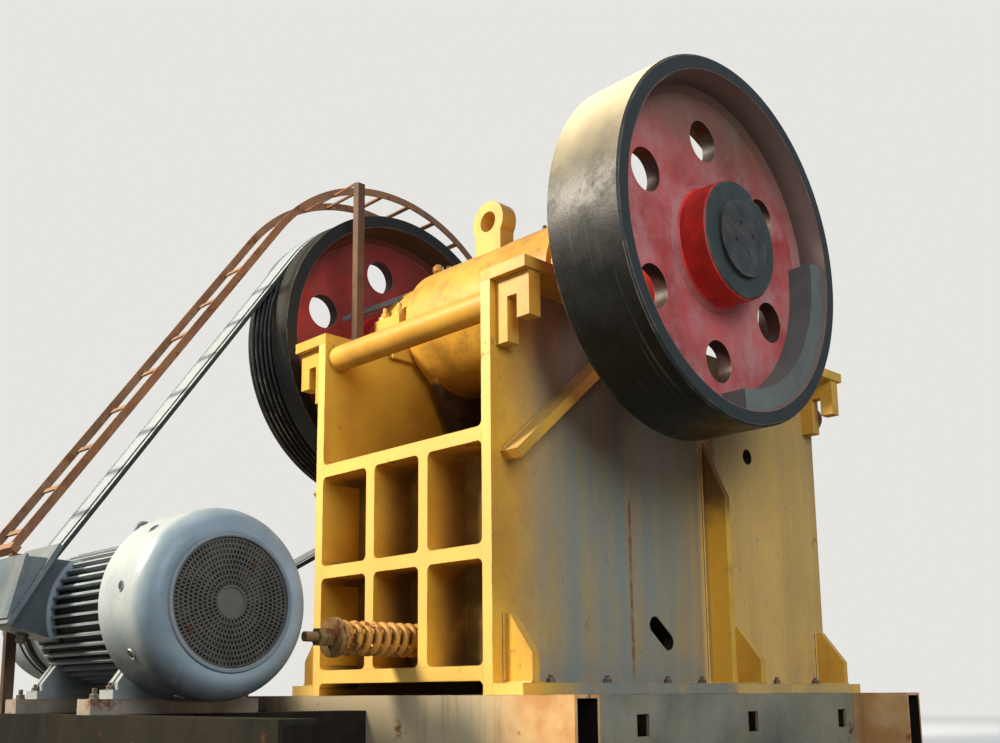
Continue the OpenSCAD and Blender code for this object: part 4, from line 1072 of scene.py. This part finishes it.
def makeGuardStay():  # flat bar from the guard's post to the bearing cap
    look = dict(fromPost=0.06, post=(-0.7385, -0.2115), height=2.125, end=(-0.595, -0.030, 2.222), wide=0.022,
                thick=0.010)
    end = Vector(look["end"])
    post = Vector((look["post"][0], look["post"][1], look["height"]))
    bm = bmesh.new()
    flatBar(bm, post + (post - end).normalized() * look["fromPost"], end, look["wide"], look["thick"])
    addPiece("guardStay", bm, hubBlack)


for make in (makeCapBolts, makeGuardStay, makeFootBolts, makeHubBolts, makeMotorBolts, makeCowlScrews, makeMotorEye,
             makeJawBolts, makeGrille, makeCableGland, makeSpring, makeBeltBand, makeWelds, makeTubeWelds,
             makeBarrelPlugs):
    make()
print("small pieces made")


# Stage

def makeFloor():  # a pale floor that fades into the pale surroundings
    look = dict(reach=60.0, colour="dcdad5", bounce="6f6c66", glow="e6e5e1", fadeFrom=5.0, fadeTo=13.0)
    mesh = bpy.data.meshes.new("floor")
    r = look["reach"]
    mesh.from_pydata([(-r, -r, 0), (r, -r, 0), (r, r, 0), (-r, r, 0)], [], [(0, 1, 2, 3)])
    floor = bpy.data.objects.new("floor", mesh)
    scene.collection.objects.link(floor)
    floor.location.z = cadBox[0].z - 0.002
    material = newMaterial("floorPaint", roughness=0.9, specular=0.1)
    seen = put("LightPath", output="Is Camera Ray")
    shader = setSurface(material, {"Base Color": mix(seen, look["bounce"], look["colour"])})
    split = pointParts()
    far = calc("SQRT", calc("POWER", split["X"], 2.0) + calc("POWER", split["Y"], 2.0))
    glow = put("Emission", {"Color": mix(seen, look["bounce"], look["glow"]), "Strength": 1.0})
    fade = ramp(far, look["fadeFrom"], look["fadeTo"])
    mixed = put("MixShader", {0: fade, 1: Value(shader.outputs[0]), 2: glow})
    feed(Value.tree.nodes["Material Output"].inputs["Surface"], mixed)
    mesh.materials.append(material)


def makeWorld():  # a soft light for the part, and the pale backdrop that the camera sees
    look = dict(light="cfd6dd", strength=0.45, backdrop="e6e5e1")
    world = bpy.data.worlds.new("studio")
    world.use_nodes = True
    scene.world = world
    Value.tree = world.node_tree
    light = world.node_tree.nodes["Background"]
    feed(light.inputs["Color"], look["light"])
    feed(light.inputs["Strength"], look["strength"])
    backdrop = put("Background", {"Color": look["backdrop"], "Strength": 1.0})
    path = newNode("LightPath")
    shown = larger(Value(path.outputs["Is Camera Ray"]), Value(path.outputs["Is Transmission Ray"]))
    mixed = put("MixShader", {0: shown, 1: Value(light.outputs[0]), 2: backdrop})
    feed(world.node_tree.nodes["World Output"].inputs["Surface"], mixed)


def addLamp(name, place, target, size, power, colour):
    data = bpy.data.lights.new(name, "AREA")
    data.shape = "DISK"
    data.size = size
    data.energy = power
    data.color = linearColour(colour)[:3]
    lamp = bpy.data.objects.new(name, data)
    lamp.location = place
    lamp.rotation_euler = (Vector(target) - Vector(place)).to_track_quat("-Z", "Y").to_euler()
    scene.collection.objects.link(lamp)


def makeCamera():
    look = dict(spot=(3.4078, -3.3486, 0.3021), azimuth=46.47, elevation=-9.92, roll=-0.32, lens=39.92, shiftX=0.025,
                shiftY=0.129)
    data = bpy.data.cameras.new("camera")
    camera = bpy.data.objects.new("camera", data)
    a, e = radians(look["azimuth"]), radians(look["elevation"])
    back = Vector((sin(a) * cos(e), -cos(a) * cos(e), sin(e)))
    turn = (-back).to_track_quat("-Z", "Y").to_matrix().to_4x4()
    roll = Matrix.Rotation(radians(look["roll"]), 4, "Z")
    camera.matrix_world = Matrix.Translation(look["spot"]) @ turn @ roll
    data.lens = look["lens"]
    data.sensor_width = 36
    data.shift_x = look["shiftX"]
    data.shift_y = look["shiftY"]
    data.clip_end = 200
    scene.collection.objects.link(camera)
    scene.camera = camera


makeFloor()
makeWorld()
makeCamera()
addLamp("keyLamp", (-3.5, -7.5, 6.5), (0, -0.2, 1.2), 2.4, 1750, "fff2dc")
addLamp("fillLamp", (7.5, -2.5, 4.5), (0, 0.2, 1.2), 5.0, 410, "e6eef8")
addLamp("backLamp", (-3.0, 7.0, 6.0), (0, 0, 1.5), 4.0, 420, "f2f5fa")
print("stage set")

scene.view_settings.view_transform = "Standard"
